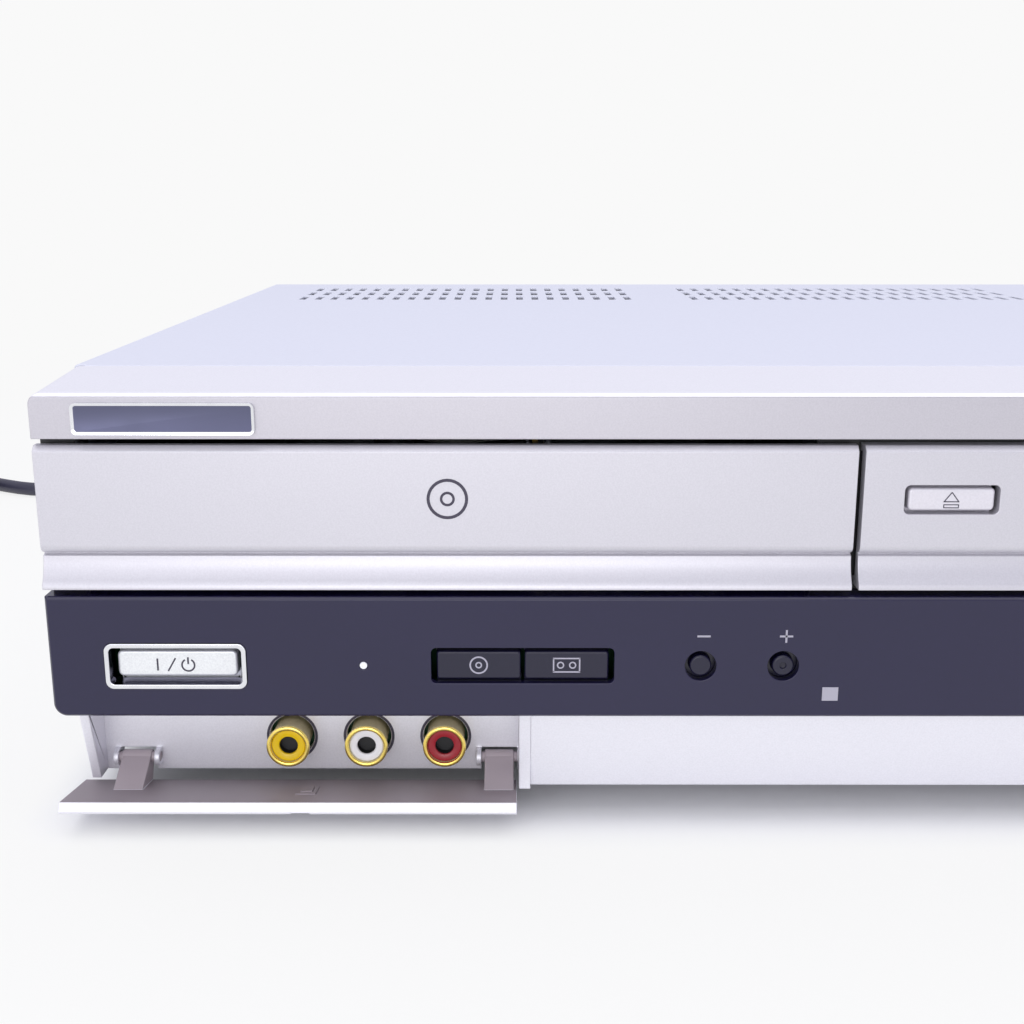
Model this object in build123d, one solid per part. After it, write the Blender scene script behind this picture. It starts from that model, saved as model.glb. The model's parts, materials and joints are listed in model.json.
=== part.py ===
from build123d import *
import math
import os

# A disc and tape combination player, in millimetres. While modelling, X runs right from the cabinet's left
# side, Y runs back from the dark control fascia's face and Z runs up from the table. Every piece is then
# moved so that the origin is under the middle of the player.

# ---- driving dimensions -------------------------------------------------------------------------------
# cabinet
width = 430.0
height = 84.8
depth = 241.0
foot_height = 7.0
sheet = 0.9
seat_gap = 0.3
cover_start = 24.8
wall = 2.2

# front mouldings: heights of the bands, from the table
bezel_top = 83.1
bezel_bottom = 75.1
band_top = 73.9
band_groove = 54.0
band_bottom = 47.8
fascia_top = 46.5
fascia_bottom = 23.4
skirt_bottom = 6.5
band_face = 0.75
band_lip = 0.9
groove_depth = 1.7
band_back = 3.4
recess_face = 5.2
skirt_top_y = 2.0
skirt_bottom_y = 7.0
band_gap = 1.2

# the bands' divisions, left to right
eject_panel_width = 39.7
tape_panel_width = 45.8
door_pin_y = 2.0
door_pin_z = 73.2
door_pin_radius = 0.6
door_opening_angle = 95.0

# buttons
key_width = 15.3
key_travel = 0.8
key_clearance = 0.35
key_face = 0.4
key_flange = 1.0
fascia_wall = 2.0
key_row_z = 33.4
dark_key_height = 5.4
power_x = 22.97
power_z = 33.3
power_frame_width = 25.85
power_frame_height = 8.8
power_frame_wall = 0.9
power_key_width = 21.9
power_key_height = 5.0
power_key_face = 1.4
led_x = 57.1
led_radius = 0.7
select_left_x = 77.75
select_pitch = 16.0
channel_left_x = 118.4
channel_pitch = 15.0
channel_hole_radius = 2.85
channel_key_radius = 2.0
transport_inset = 90.6
transport_count = 5
eject_key_height = 4.1
eject_key_inset = 15.7
eject_z = 64.25
display_x = 223.0
display_width = 90.0
display_height = 16.0
display_z = 35.0
board_y = 12.0
board_thickness = 1.6

# audio and video bay behind the flap
bay_right = 85.4
bay_top = 22.6
bay_back = 14.0
cheek = 4.4
skirt_inset = 2.6
corner_radius_top = 2.0
jack_z = 13.5
jack_left_x = 41.05
jack_pitch = 15.03
jack_reach = 5.4
lip_radius = 4.15
shell_radius = 3.65
shell_wall = 0.7
insert_hole_radius = 1.7
flap_left = 0.4
flap_thickness = 2.3
flap_pin_y = 13.2
flap_pin_z = 9.5
flap_pin_radius = 1.0
flap_angle = 63.2
arm_width = 5.6
arm_left_x = 10.8
arm_right_x = 81.6
arm_clearance = 0.7

# vents in the cover
vent_columns = 22
vent_rows = 3
vent_pitch = 4.75
vent_row_pitch = 17.2
vent_width = 2.0
vent_length = 12.0
vent_left_x = 19.6
vent_block_shift = 120.3
vent_front_y = 177.0
notch_width = 2.4
notch_length = 1.4
notch_height = 3.2

# disc drive
spindle_y = 70.0
tray_width = 131.0
tray_back = 168.0
tray_top = 63.0
tray_bottom = 55.0
tray_travel = 136.0
well_radius = 60.5
well_depth = 1.8
small_well_radius = 40.8
small_well_depth = 0.8
tray_floor = 1.6
slot_half = 21.0
frame_bottom = 44.0
frame_floor = 2.2
frame_wall = 3.0
frame_inset = 3.5
rail_gap = 0.5
frame_front = 8.2
frame_back = 185.0
frame_side_top = 67.5
bridge_thickness = 2.5
bridge_half = 20.0
clamp_hole_radius = 14.0
pinion_offset = 38.5
pinion_y = 25.5
pinion_teeth = 18
pinion_module = 1.0
wheel_teeth = 40
motor_teeth = 12
motor_module = 0.7
gear_backlash = 0.16
shaft_clearance = 0.06
traverse_pin_y = 158.0
traverse_pin_z = 51.5
traverse_tilt = 4.0
pickup_travel = 32.0

# tape deck
deck_z = 19.0
deck_sheet = 1.5
deck_front = 36.0
deck_back = 214.0
cassette_width = 187.0
cassette_height = 25.0
cassette_front = 32.0
cassette_depth = 103.0
reel_spacing = 92.0
reel_y = 78.0
holder_wall = 1.0
holder_drop = 19.0
drum_y = 176.0
drum_radius = 31.0
drum_tilt = 5.9
capstan_offset = 59.0
capstan_y = 122.0
roller_offset = 13.0

# mains cord
cord_diameter = 5.2
gland_x = 35.0
gland_z = 22.0
gland_reach = 20.0
coil_pitch = 5.9
coil_radius = 34.5
coil_turns = 3.0
coil_x = -163.0
coil_y = 270.0
coil_start_angle = 53.13
plug_axis_z = 6.9

# ---- worked out from the driving dimensions -------------------------------------------------------------
bezel_face = band_face
panel_rear = cover_start - seat_gap
frame_width = tray_width + 2 * (frame_wall + rail_gap)
spindle_x = frame_inset + frame_width / 2
lid_right = frame_inset + frame_width + 3.4
left_panel_start = lid_right + band_gap
eject_x = left_panel_start + eject_key_inset
door_left = left_panel_start + eject_panel_width + band_gap
door_right = width - tape_panel_width - band_gap
tape_eject_x = width - tape_panel_width / 2
transport_x = width - transport_inset
rear_sheet_y = depth - sheet - seat_gap - 1.2
rear_sheet = 1.2
jack_tip = rear_sheet_y + rear_sheet + jack_reach
frame_left = spindle_x - frame_width / 2
frame_right = spindle_x + frame_width / 2
tray_left = spindle_x - tray_width / 2
tray_right = spindle_x + tray_width / 2
pinion_x = spindle_x + pinion_offset
pinion_radius = pinion_module * pinion_teeth / 2
wheel_radius = motor_module * wheel_teeth / 2
motor_gear_radius = motor_module * motor_teeth / 2
rack_x = pinion_x + pinion_radius
motor_x = pinion_x - wheel_radius - motor_gear_radius
deck_x = (door_left + door_right) / 2
capstan_x = deck_x + capstan_offset
roller_x = capstan_x + roller_offset
holder_left = deck_x - cassette_width / 2 - 1.9
holder_right = deck_x + cassette_width / 2 + 1.9
holder_floor_z = fascia_top + 0.1
side_plate_gap = 1.4
post_radius = 3.0
floor_top = foot_height + 1.0
main_board_left = frame_right + 3.0
main_board_right = deck_x - 100.0


def rotated_back(y, z, angle):
    """The place of a section point after the flap turns about its pins."""
    turn = math.radians(angle)
    side = y - flap_pin_y
    up = z - flap_pin_z
    return (
        flap_pin_y + side * math.cos(turn) - up * math.sin(turn),
        flap_pin_z + side * math.sin(turn) + up * math.cos(turn),
    )


skirt_slope = (skirt_bottom_y - skirt_top_y) / (fascia_bottom - 0.4 - skirt_bottom)


def skirt_y(z):
    """How far back the leaning skirt's face is at a height."""
    return skirt_top_y + (fascia_bottom - 0.4 - z) * skirt_slope


flap_top = bay_top + 0.3
flap_front = rotated_back(skirt_y(flap_top), flap_top, flap_angle)[0]
gland_collar = 1.6
gland_end = rear_sheet_y + rear_sheet + gland_collar + gland_reach
aerial_end = depth + 7.0
rear_end = max(aerial_end, gland_end)
placing = Location((-width / 2, -(rear_end + flap_front) / 2, 0))


# ---- small helpers ------------------------------------------------------------------------------------
def block(x0, x1, y0, y1, z0, z1):
    """A box between two corners."""
    size = Box(x1 - x0, y1 - y0, z1 - z0)
    return Pos((x0 + x1) / 2, (y0 + y1) / 2, (z0 + z1) / 2) * size


def post(x, y, z0, z1, radius):
    """A cylinder standing up."""
    return Pos(x, y, (z0 + z1) / 2) * Cylinder(radius, z1 - z0)


def bar_x(y, z, x0, x1, radius):
    """A cylinder along X."""
    return Pos((x0 + x1) / 2, y, z) * Rot(0, 90, 0) * Cylinder(radius, x1 - x0)


def bar_y(x, z, y0, y1, radius):
    """A cylinder along Y."""
    return Pos(x, (y0 + y1) / 2, z) * Rot(90, 0, 0) * Cylinder(radius, y1 - y0)


def section(lines, x0, x1):
    """A side-view outline, drawn in Y and Z, drawn out along X."""
    face = Plane.YZ.offset(x0) * make_face(lines)
    return extrude(face, x1 - x0, dir=(1, 0, 0))


def outline(points, x0, x1):
    """A straight-sided side-view outline drawn out along X."""
    return section(Polyline(*points, close=True).edges(), x0, x1)


def plate(x, z, wide, high, corner, y0, y1):
    """A front-view rectangle with round corners, drawn out along Y."""
    if corner > 0:
        shape = RectangleRounded(wide, high, corner)
    else:
        shape = Rectangle(wide, high)
    return extrude(Plane.XZ.offset(-y0) * Pos(x, z) * shape, y1 - y0, dir=(0, 1, 0))


def revolved_y(points, x, z, facing):
    """Turned about an axis along Y; points are (radius, distance along the axis)."""
    face = make_face(Polyline(*[(radius, along) for radius, along in points], close=True).edges())
    turned = revolve(Plane.XY * face, Axis.Y)
    if facing < 0:
        turned = turned.rotate(Axis.X, 180)
    return turned.move(Location((x, 0, z)))


def group(*solids):
    """Several separate solids that share one node."""
    return Compound(children=list(solids))


# ---- gear teeth ---------------------------------------------------------------------------------------
pressure_angle = math.radians(20)


def involute(angle):
    return math.tan(angle) - angle


def gear_face(teeth, module):
    """A spur gear's outline with involute flanks, one tooth centred on +X."""
    pitch = module * teeth / 2
    base = pitch * math.cos(pressure_angle)
    tip = pitch + module * 0.95
    root = pitch - module * 1.25
    half_pitch = math.pi / (2 * teeth) - gear_backlash / (4 * pitch)

    def half_angle(radius):
        roll = math.acos(min(1.0, base / radius))
        return half_pitch + involute(pressure_angle) - involute(roll)

    def spot(radius, angle):
        return (radius * math.cos(angle), radius * math.sin(angle))

    start = max(base, root)
    middle = (start + tip) / 2
    edges = []
    for index in range(teeth):
        centre = 2 * math.pi * index / teeth
        following = 2 * math.pi * (index + 1) / teeth
        low = centre - half_angle(start)
        high = centre + half_angle(start)
        foot = spot(root, low)
        flank_start = spot(start, low)
        tip_low = spot(tip, centre - half_angle(tip))
        tip_high = spot(tip, centre + half_angle(tip))
        flank_end = spot(start, high)
        foot_end = spot(root, high)
        if root < start:
            edges.append(Line(foot, flank_start))
        edges.append(ThreePointArc(flank_start, spot(middle, centre - half_angle(middle)), tip_low))
        edges.append(Line(tip_low, tip_high))
        edges.append(ThreePointArc(tip_high, spot(middle, centre + half_angle(middle)), flank_end))
        if root < start:
            edges.append(Line(flank_end, foot_end))
        edges.append(Line(foot_end, spot(root, following - half_angle(start))))
    return make_face(edges)


def gear(teeth, module, x, y, z0, z1, turn=0.0):
    """A gear standing on a vertical axis."""
    return extrude(Pos(x, y, z0) * Rot(0, 0, turn) * gear_face(teeth, module), z1 - z0, dir=(0, 0, 1))


# ---- casing -------------------------------------------------------------------------------------------
def top_cover():
    """The folded steel cover: top, two sides, a lip down the back, vents and a notch at each front corner."""
    outer = Pos(width / 2, 0) * Rectangle(width, height - foot_height, align=(Align.CENTER, Align.MIN))
    inner = Pos(width / 2, -1) * Rectangle(
        width - 2 * sheet, height - foot_height - sheet + 1, align=(Align.CENTER, Align.MIN)
    )
    profile = Pos(0, foot_height) * (outer - inner)
    cover = extrude(Plane.XZ.offset(-cover_start) * profile, depth - cover_start, dir=(0, 1, 0))
    bends = cover.edges().filter_by(Axis.Y).group_by(Axis.Z)[-1]
    cover = fillet(bends, sheet * 0.8)
    lip = block(8, width - 8, depth - sheet, depth, height - 8, height - sheet)
    cover += lip
    cuts = [vent_slot(x, y) for x, y in vent_places()]
    for x0, x1 in ((-1, notch_width), (width - notch_width, width + 1)):
        cuts.append(
            block(x0, x1, cover_start - 1, cover_start + notch_length, height - notch_height, height + 1)
        )
    for x, y, z in side_screw_places():
        cuts.append(bar_x(y, z, x - 3, x + 3, screw_hole_radius))
    for x, z in lip_screw_places():
        cuts.append(bar_y(x, z, depth - 3, depth + 1, screw_hole_radius))
    return cover - cuts


def vent_places():
    """The front middle of every vent slot: blocks of columns and rows."""
    return [
        (vent_left_x + side * vent_block_shift + column * vent_pitch, vent_front_y + row * vent_row_pitch)
        for side in range(2)
        for column in range(vent_columns)
        for row in range(vent_rows)
    ]


def vent_slot(x, y):
    return block(x - vent_width / 2, x + vent_width / 2, y, y + vent_length, height - 2, height + 1)


screw_hole_radius = 1.7
screw_radius = 1.45
screw_head_radius = 3.0
screw_head = 1.4


def side_screw_places():
    return [(x, y, foot_height + 9) for x in (0, width) for y in (60, depth - 40)]


def lip_screw_places():
    return [(x, height - 5) for x in (30, width / 2, width - 30)]


def rear_screw_places():
    return [(x, foot_height + 6) for x in (90, width / 2 + 35, width - 80)]


def case_screws():
    """Pan-head screws: two in each side, three through the cover's lip, three low in the back."""
    screws = []
    for x, y, z in side_screw_places():
        out = -1 if x == 0 else 1
        head = bar_x(y, z, min(x, x + out * screw_head), max(x, x + out * screw_head), screw_head_radius)
        head = chamfer(head.edges().group_by(Axis.X)[0 if out < 0 else -1], 0.5)
        shank_end = x - out * 6
        screws.append(head + bar_x(y, z, min(x, shank_end), max(x, shank_end), screw_radius))
    for x, z in lip_screw_places():
        screws.append(rear_screw(x, z, depth))
    for x, z in rear_screw_places():
        screws.append(rear_screw(x, z, rear_sheet_y + rear_sheet))
    return group(*screws)


def rear_screw(x, z, face):
    head = bar_y(x, z, face, face + screw_head, screw_head_radius)
    head = chamfer(head.edges().group_by(Axis.Y)[-1], 0.5)
    return head + bar_y(x, z, face - 6, face, screw_radius)


def drive_ear_places():
    """Where the disc drive rests on brackets that stand on the chassis."""
    return [(x, y) for x in (frame_left + 6, frame_right - 6) for y in (48, 150)]


def board_post_places():
    psu = [(x, y) for x in (14, 112) for y in (158, 224)]
    main = [(x, y) for x in (main_board_left + 6.5, main_board_right - 7) for y in (60, 216)]
    return psu + main


def bottom_chassis():
    """A steel pan with bent-up sides, with pressed-in standoffs and four brackets for the disc drive."""
    left = sheet + seat_gap
    right = width - left
    front = cover_start + seat_gap
    back = rear_sheet_y - seat_gap
    pan = block(left, right, front, back, foot_height, floor_top)
    for x0 in (left, right - 1):
        pan += block(x0, x0 + 1, front, back, foot_height, foot_height + 18)
    for x, y, z in side_screw_places():
        pan -= bar_x(y, z, x - 3, x + 3, screw_hole_radius)
    pan -= block(200, 330, 226, 232, foot_height - 1, floor_top + 1)
    standoffs = [post(x, y, floor_top, board_level - seat_gap, post_radius) for x, y in board_post_places()]
    standoffs += [post(x, y, floor_top, deck_z - seat_gap, post_radius + 1) for x, y in deck_post_places()]
    return group(pan, *standoffs, *[drive_bracket(x, y) for x, y in drive_ear_places()])


def drive_bracket(x, y):
    """A bent strip that stands on the pan and carries a corner of the disc drive."""
    top = frame_bottom - seat_gap
    bracket = block(x - 6, x + 6, y - 0.5, y + 0.5, floor_top, top)
    bracket += block(x - 6, x + 6, y - 0.5, y + 9, top - 1.0, top)
    return bracket + block(x - 6, x + 6, y - 0.5, y + 9, floor_top, floor_top + 1.0)


board_level = 14.0


def deck_post_places():
    return [(x, y) for x in (deck_x - 88, deck_x + 88) for y in (deck_front + 8, deck_back - 8)]


def rear_panel():
    """The back sheet with its holes for the sockets, the aerial threads, the cord gland and screws."""
    left = sheet + seat_gap
    top = height - sheet - seat_gap
    back = block(left, width - left, rear_sheet_y, rear_sheet_y + rear_sheet, foot_height, top)
    for x, z in rear_jack_places():
        back -= bar_y(x, z, rear_sheet_y - 1, depth, lip_radius + 0.2)
    for x in aerial_places():
        back -= bar_y(x, aerial_z, rear_sheet_y - 1, depth, aerial_radius + 0.2)
    back -= plate(gland_x, gland_z, 13.4, 11.4, 1.5, rear_sheet_y - 1, depth)
    for x, z in lip_screw_places() + rear_screw_places():
        back -= bar_y(x, z, rear_sheet_y - 1, depth, screw_hole_radius)
    for row in range(4):
        z = 50 + row * 6
        back -= plate(width - 100, z, 60, 2.4, 1.1, rear_sheet_y - 1, depth)
    return back


def feet():
    """Four round tapered feet under the chassis."""
    pieces = []
    for x in (38, width - 38):
        for y in (44, depth - 30):
            foot = Pos(x, y, foot_height / 2) * Cone(8, 10, foot_height)
            pieces.append(chamfer(foot.edges().group_by(Axis.Z)[0], 0.8))
    return group(*pieces)


def front_section():
    """The front moulding's side view: bezel, deep recess behind the bands, leaning skirt."""
    step_z = fascia_bottom - 0.4
    slope_drop = height - bezel_top
    return [
        (panel_rear, height),
        (bezel_face + 0.7, bezel_top + slope_drop * 0.03),
        (bezel_face, bezel_top - 0.6),
        (bezel_face, bezel_bottom),
        (recess_face, bezel_bottom),
        (recess_face, step_z),
        (skirt_top_y, step_z),
        (skirt_bottom_y, skirt_bottom),
        (panel_rear, skirt_bottom),
    ]


def skirt_end():
    """The side wall that closes the skirt, set in from the cabinet's side."""
    top = fascia_bottom - 0.4
    return [
        (skirt_y(top) + 0.2, top),
        (skirt_bottom_y + 0.2, skirt_bottom),
        (panel_rear, skirt_bottom),
        (panel_rear, top + 0.5),
        (recess_face + 0.2, top + 0.5),
        (recess_face + 0.2, top),
    ]


def front_cavity():
    """The hollow behind the front moulding, one wall in from its outline."""
    inner_face = recess_face + wall
    step_z = fascia_bottom - 0.4 - wall
    return [
        (panel_rear + 1, height - wall),
        (panel_rear, height - wall),
        (bezel_face + wall, bezel_top - wall),
        (bezel_face + wall, bezel_bottom + wall),
        (inner_face, bezel_bottom + wall),
        (inner_face, step_z),
        (skirt_y(step_z) + wall, step_z),
        (skirt_bottom_y + wall, skirt_bottom + wall),
        (panel_rear + 1, skirt_bottom + wall),
    ]


def front_panel():
    """The silver front in three mouldings: bezel with posts, skirt, and the corner with the AV bay."""
    moulding = outline(front_section(), 0, width)
    top_ends = moulding.faces().sort_by(Axis.Z)[-1].edges()
    shoulder = [edge for edge in top_ends if abs((edge % 0.5).X) < 0.5]
    moulding = fillet(shoulder, corner_radius_top)
    moulding -= outline(front_cavity(), wall, width - wall)
    for x0, x1 in ((-1, skirt_inset), (width - skirt_inset, width + 1)):
        moulding -= block(x0, x1, -1, panel_rear + 1, skirt_bottom - 1, fascia_bottom - 0.4)
    for x0 in (skirt_inset, width - skirt_inset - wall):
        moulding += outline(skirt_end(), x0, x0 + wall)
    # mouths behind the bands
    moulding -= block(
        tray_left - 0.8, tray_right + 0.8, recess_face - 1, recess_face + wall + 1, holder_floor_z, bezel_bottom
    )
    moulding -= block(
        door_left, door_right, recess_face - 1, recess_face + wall + 1, holder_floor_z, bezel_bottom
    )
    moulding -= block(
        door_left - 1, door_right + 1, bezel_face + wall, recess_face + wall + 1,
        bezel_bottom + 0.6, bezel_bottom + wall + 1,
    )
    for x in (eject_x, tape_eject_x):
        size = (key_width + 4, eject_key_height + 5)
        moulding -= plate(x, eject_z, *size, 1, recess_face - 1, recess_face + wall + 1)
    for x0, x1 in fascia_windows():
        moulding -= block(
            x0, x1, recess_face - 1, recess_face + wall + 1, fascia_bottom + 2.6, fascia_top - 2.0
        )
    # the bay for the front sockets
    moulding -= block(-1, bay_right, -1, panel_rear, skirt_bottom - 1, bay_top)
    moulding -= block(-1, bay_right, -1, recess_face, skirt_bottom - 1, fascia_bottom)
    bay = block(skirt_inset, bay_right + wall, recess_face, bay_back + wall, skirt_bottom, bay_top + wall)
    bay -= block(cheek, bay_right, recess_face - 1, bay_back, skirt_bottom - 1, bay_top)
    cheek_front = [
        (flap_inner(bay_top) + 2 * seat_gap, bay_top + 0.4),
        (flap_inner(skirt_bottom) + 2 * seat_gap, skirt_bottom),
        (bay_back, skirt_bottom),
        (bay_back, bay_top + 0.4),
    ]
    bay -= block(-1, cheek + 0.01, recess_face - 1, bay_back - 0.01, skirt_bottom - 1, bay_top)
    bay += outline(cheek_front, skirt_inset, cheek)
    bay += block(skirt_inset, skirt_inset + wall, bay_back, panel_rear, skirt_bottom, fascia_bottom - 0.4)
    moulding += bay
    for x in jack_places():
        moulding -= bar_y(x, jack_z, bay_back - 1, bay_back + wall + 1, lip_radius + 0.2)
    for x in (arm_left_x, arm_right_x):
        half = arm_width / 2 + arm_clearance
        notch_top = flap_pin_z + 1.6
        notch = block(x - half, x + half, bay_back - 0.1, bay_back + wall + 0.1, skirt_bottom - 1, notch_top)
        moulding -= notch
        for side in (-1, 1):
            inner = x + side * half
            outer_end = inner + side * 1.0
            lug = bar_x(flap_pin_y, flap_pin_z, min(inner, outer_end), max(inner, outer_end), 1.7)
            lug += block(
                min(inner, outer_end), max(inner, outer_end),
                flap_pin_y, bay_back + 0.1, flap_pin_z - 1.7, flap_pin_z + 1.7,
            )
            moulding += lug
            moulding -= bar_x(
                flap_pin_y, flap_pin_z, min(inner, outer_end) - 0.1, max(inner, outer_end) + 0.1,
                flap_pin_radius + shaft_clearance,
            )
    # tongue under the cover's front edge, and pillars that hold the control board
    tongue_top = height - sheet - seat_gap
    moulding += block(5, width - 5, panel_rear - 1, cover_start + 4, tongue_top - 1.2, tongue_top)
    for x in board_pillars():
        moulding += bar_y(x, display_z, recess_face + 0.1, board_y - 0.1, 2.5)
    # three mouldings that meet behind the dark fascia and at the bay's right wall
    far = width + 1
    seam = bay_right + wall
    upper = moulding & block(-1, far, -20, cover_start + 10, holder_floor_z, height + 1)
    lower = moulding & block(seam, far, -20, cover_start + 10, skirt_bottom - 1, holder_floor_z)
    corner = moulding & block(-1, seam, -20, cover_start + 10, skirt_bottom - 1, holder_floor_z)
    return group(upper, lower, corner)


def fascia_windows():
    """The parts of the recess wall that are open behind the dark fascia."""
    return (
        (9, channel_left_x + channel_pitch + 16),
        (display_x - display_width / 2 - 2, display_x + display_width / 2 + 2),
        (transport_x - 12, transport_x + (transport_count - 1) * select_pitch + 12),
    )


def board_pillars():
    """Pillars between the openings in the recess wall and at its right end."""
    windows = fascia_windows()
    between = [(left[1] + right[0]) / 2 for left, right in zip(windows[:-1], windows[1:])]
    return between + [width - 8]


def flap_inner(z):
    """How far back the closed flap's inner face is at a height."""
    return skirt_y(z) + flap_thickness


def band_section():
    """The side view shared by the tray lid, the tape door and the two eject panels."""
    lip_y = band_face - band_lip
    groove_y = band_face + groove_depth
    upper_end = band_groove + 1.85
    return [
        Line((band_back, band_top), (band_face + 1.0, band_top)),
        Line((band_face + 1.0, band_top), (band_face, band_top - 1.0)),
        Line((band_face, band_top - 1.0), (band_face, upper_end)),
        ThreePointArc(
            (band_face, upper_end),
            (band_face + 0.44, band_groove + 0.75),
            (band_face + 1.45, band_groove + 0.3),
        ),
        Line((band_face + 1.45, band_groove + 0.3), (groove_y, band_groove + 0.05)),
        Line((groove_y, band_groove + 0.05), (band_face + 1.0, band_groove - 0.3)),
        ThreePointArc(
            (band_face + 1.0, band_groove - 0.3),
            (band_face + 0.35, band_bottom + 3.1),
            (lip_y, band_bottom + 0.9),
        ),
        Line((lip_y, band_bottom + 0.9), (lip_y, band_bottom)),
        Line((lip_y, band_bottom), (band_back, band_bottom)),
        Line((band_back, band_bottom), (band_back, band_top)),
    ]


def eject_recess(panel, x):
    """A round-cornered hole for an eject button."""
    hole = plate(
        x, eject_z, key_width + 1.5, eject_key_height + 1.2, 1.0, -1, band_back + 1
    )
    return panel - hole


def panel_ribs(x0, x1):
    """Ribs behind an eject panel that seat it in the front moulding's recess."""
    back = recess_face - seat_gap
    ribs = block(x0, x1, band_back - 0.1, back, band_bottom, band_bottom + 1.5)
    ribs += block(x0, x1, band_back - 0.1, back, band_top - 1.5, band_top)
    return ribs


def hinge_bore(panel, x0, x1):
    return panel - bar_x(door_pin_y, door_pin_z, x0, x1, door_pin_radius + shaft_clearance)


def disc_eject_panel():
    panel = section(band_section(), left_panel_start, door_left - band_gap)
    panel += panel_ribs(left_panel_start, door_left - band_gap)
    panel = eject_recess(panel, eject_x)
    return hinge_bore(panel, door_left - band_gap - 2.4, door_left)


def tape_eject_panel():
    panel = section(band_section(), door_right + band_gap, width)
    panel += panel_ribs(door_right + band_gap, width)
    panel = eject_recess(panel, tape_eject_x)
    return hinge_bore(panel, door_right, door_right + band_gap + 2.4)


def cassette_door():
    """The tape door; it swings in about pins at its top corners."""
    door = section(band_section(), door_left, door_right)
    pin_end = band_gap + 2.0
    door += bar_x(door_pin_y, door_pin_z, door_left - pin_end, door_right + pin_end, door_pin_radius)
    return door


# ---- control fascia and its buttons -------------------------------------------------------------------
def fascia_holes(depth_back):
    """Every hole through the dark fascia."""
    holes = [plate(power_x, power_z, power_frame_width, power_frame_height, 1.6, -1, depth_back)]
    holes.append(bar_y(led_x, key_row_z, -1, depth_back, led_radius + 0.05))
    pair = select_pitch + key_width + 2.0
    holes.append(
        plate(select_left_x + select_pitch / 2 + 0.3, key_row_z, pair, 6.8, 1.0, -1, depth_back)
    )
    for index in range(2):
        x = channel_left_x + index * channel_pitch
        holes.append(bar_y(x, key_row_z, -1, depth_back, channel_hole_radius))
    row = (transport_count - 1) * select_pitch + key_width + 2.0
    middle = transport_x + (transport_count - 1) * select_pitch / 2
    holes.append(plate(middle, key_row_z, row, 6.8, 1.0, -1, depth_back))
    holes.append(plate(display_x, display_z, display_width, display_height, 1.2, -1, depth_back))
    return holes


def control_fascia():
    """The dark moulding across the middle, a shallow shell with returns all round."""
    high = fascia_top - fascia_bottom
    middle_z = (fascia_top + fascia_bottom) / 2
    back = recess_face - seat_gap
    shell = extrude(
        Plane.XZ * Pos(width / 2, middle_z) * Rectangle(width, high), back, dir=(0, 1, 0)
    )
    low_corners = shell.edges().filter_by(Axis.Y).group_by(Axis.Z)[0]
    shell = fillet(low_corners, 2.4)
    shell = chamfer(shell.faces().sort_by(Axis.Y)[0].edges(), 0.5)
    shell -= plate(width / 2, middle_z, width - 3.2, high - 3.2, 1.4, fascia_wall, back + 1)
    for hole in fascia_holes(fascia_wall + 0.5):
        shell -= hole
    return shell


def power_button_frame():
    """The bright ring let into the fascia around the power button."""
    back = fascia_wall + 1.6
    ring = plate(power_x, power_z, power_frame_width - 0.1, power_frame_height - 0.1, 1.5, -0.3, back)
    front = fascia_wall + 0.1
    ring += plate(power_x, power_z, power_frame_width + 2, power_frame_height + 2, 2.0, front, back)
    ring -= plate(
        power_x, power_z, power_frame_width - 2 * power_frame_wall,
        power_frame_height - 2 * power_frame_wall, 0.9, -1, back + 1,
    )
    return ring


def key(x, z, wide, high, corner, face, wall_back, stem_end):
    """A push button: cap, retaining flange behind the wall, stem to its switch."""
    cap = plate(x, z, wide, high, corner, face, wall_back + 0.3 + key_flange)
    cap = chamfer(cap.faces().sort_by(Axis.Y)[0].edges(), 0.3)
    cap += plate(x, z, wide, high + 2.4, corner, wall_back + 0.3, wall_back + 0.3 + key_flange)
    cap += bar_y(x, z, wall_back + 0.3 + key_flange - 0.1, stem_end, 1.5)
    return cap


stem_gap = 0.1
switch_depth = 3.2
switch_face = board_y - switch_depth
stem_back = switch_face - key_travel - stem_gap


def power_button():
    frame_back = fascia_wall + 1.6
    size = (power_key_width, power_key_height)
    return key(power_x, power_z, *size, 1.0, power_key_face, frame_back, stem_back)


def dark_key(x):
    return key(x, key_row_z, key_width, dark_key_height, 0.6, key_face, fascia_wall, stem_back)


def channel_key(x, dimple):
    """A small round button; one of the pair has a dimple to find it by."""
    z = key_row_z
    cap = bar_y(x, z, key_face - 0.2, fascia_wall + 0.3 + key_flange, channel_key_radius)
    cap = chamfer(cap.edges().group_by(Axis.Y)[0], 0.3)
    cap += bar_y(x, z, fascia_wall + 0.3, fascia_wall + 0.3 + key_flange, channel_hole_radius + 1.0)
    cap += bar_y(x, z, fascia_wall + 0.3, stem_back, 1.5)
    if dimple:
        cap -= bar_y(x, z, -1, key_face + 0.3, 0.6)
    return cap


def eject_key(x):
    return key(x, eject_z, key_width, eject_key_height, 0.8, key_face + band_face, band_back, stem_back)


def display_window():
    """The smoked window over the display, seated on a lip behind the fascia."""
    window = plate(
        display_x, display_z, display_width - 0.3, display_height - 0.3, 1.1, 0.2, fascia_wall + 0.2
    )
    flange = (display_width + 3, display_height + 2.4, 1.1)
    window += plate(display_x, display_z, *flange, fascia_wall + 0.1, fascia_wall + 1.2)
    return window


def led_lens():
    """A clear pin with a collar that brings the status light to the fascia."""
    lens = bar_y(led_x, key_row_z, 0.1, board_y - 2.0, led_radius)
    return lens + bar_y(led_x, key_row_z, fascia_wall + 0.1, fascia_wall + 1.1, 2.0)


def key_centres():
    """Every button's centre, so that each has a switch behind it."""
    centres = [(power_x, power_z)]
    centres += [(select_left_x + index * select_pitch + 0.3, key_row_z) for index in range(2)]
    centres += [(channel_left_x + index * channel_pitch, key_row_z) for index in range(2)]
    centres += [(transport_x + index * select_pitch, key_row_z) for index in range(transport_count)]
    centres += [(x, eject_z) for x in (eject_x, tape_eject_x)]
    return centres


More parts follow.
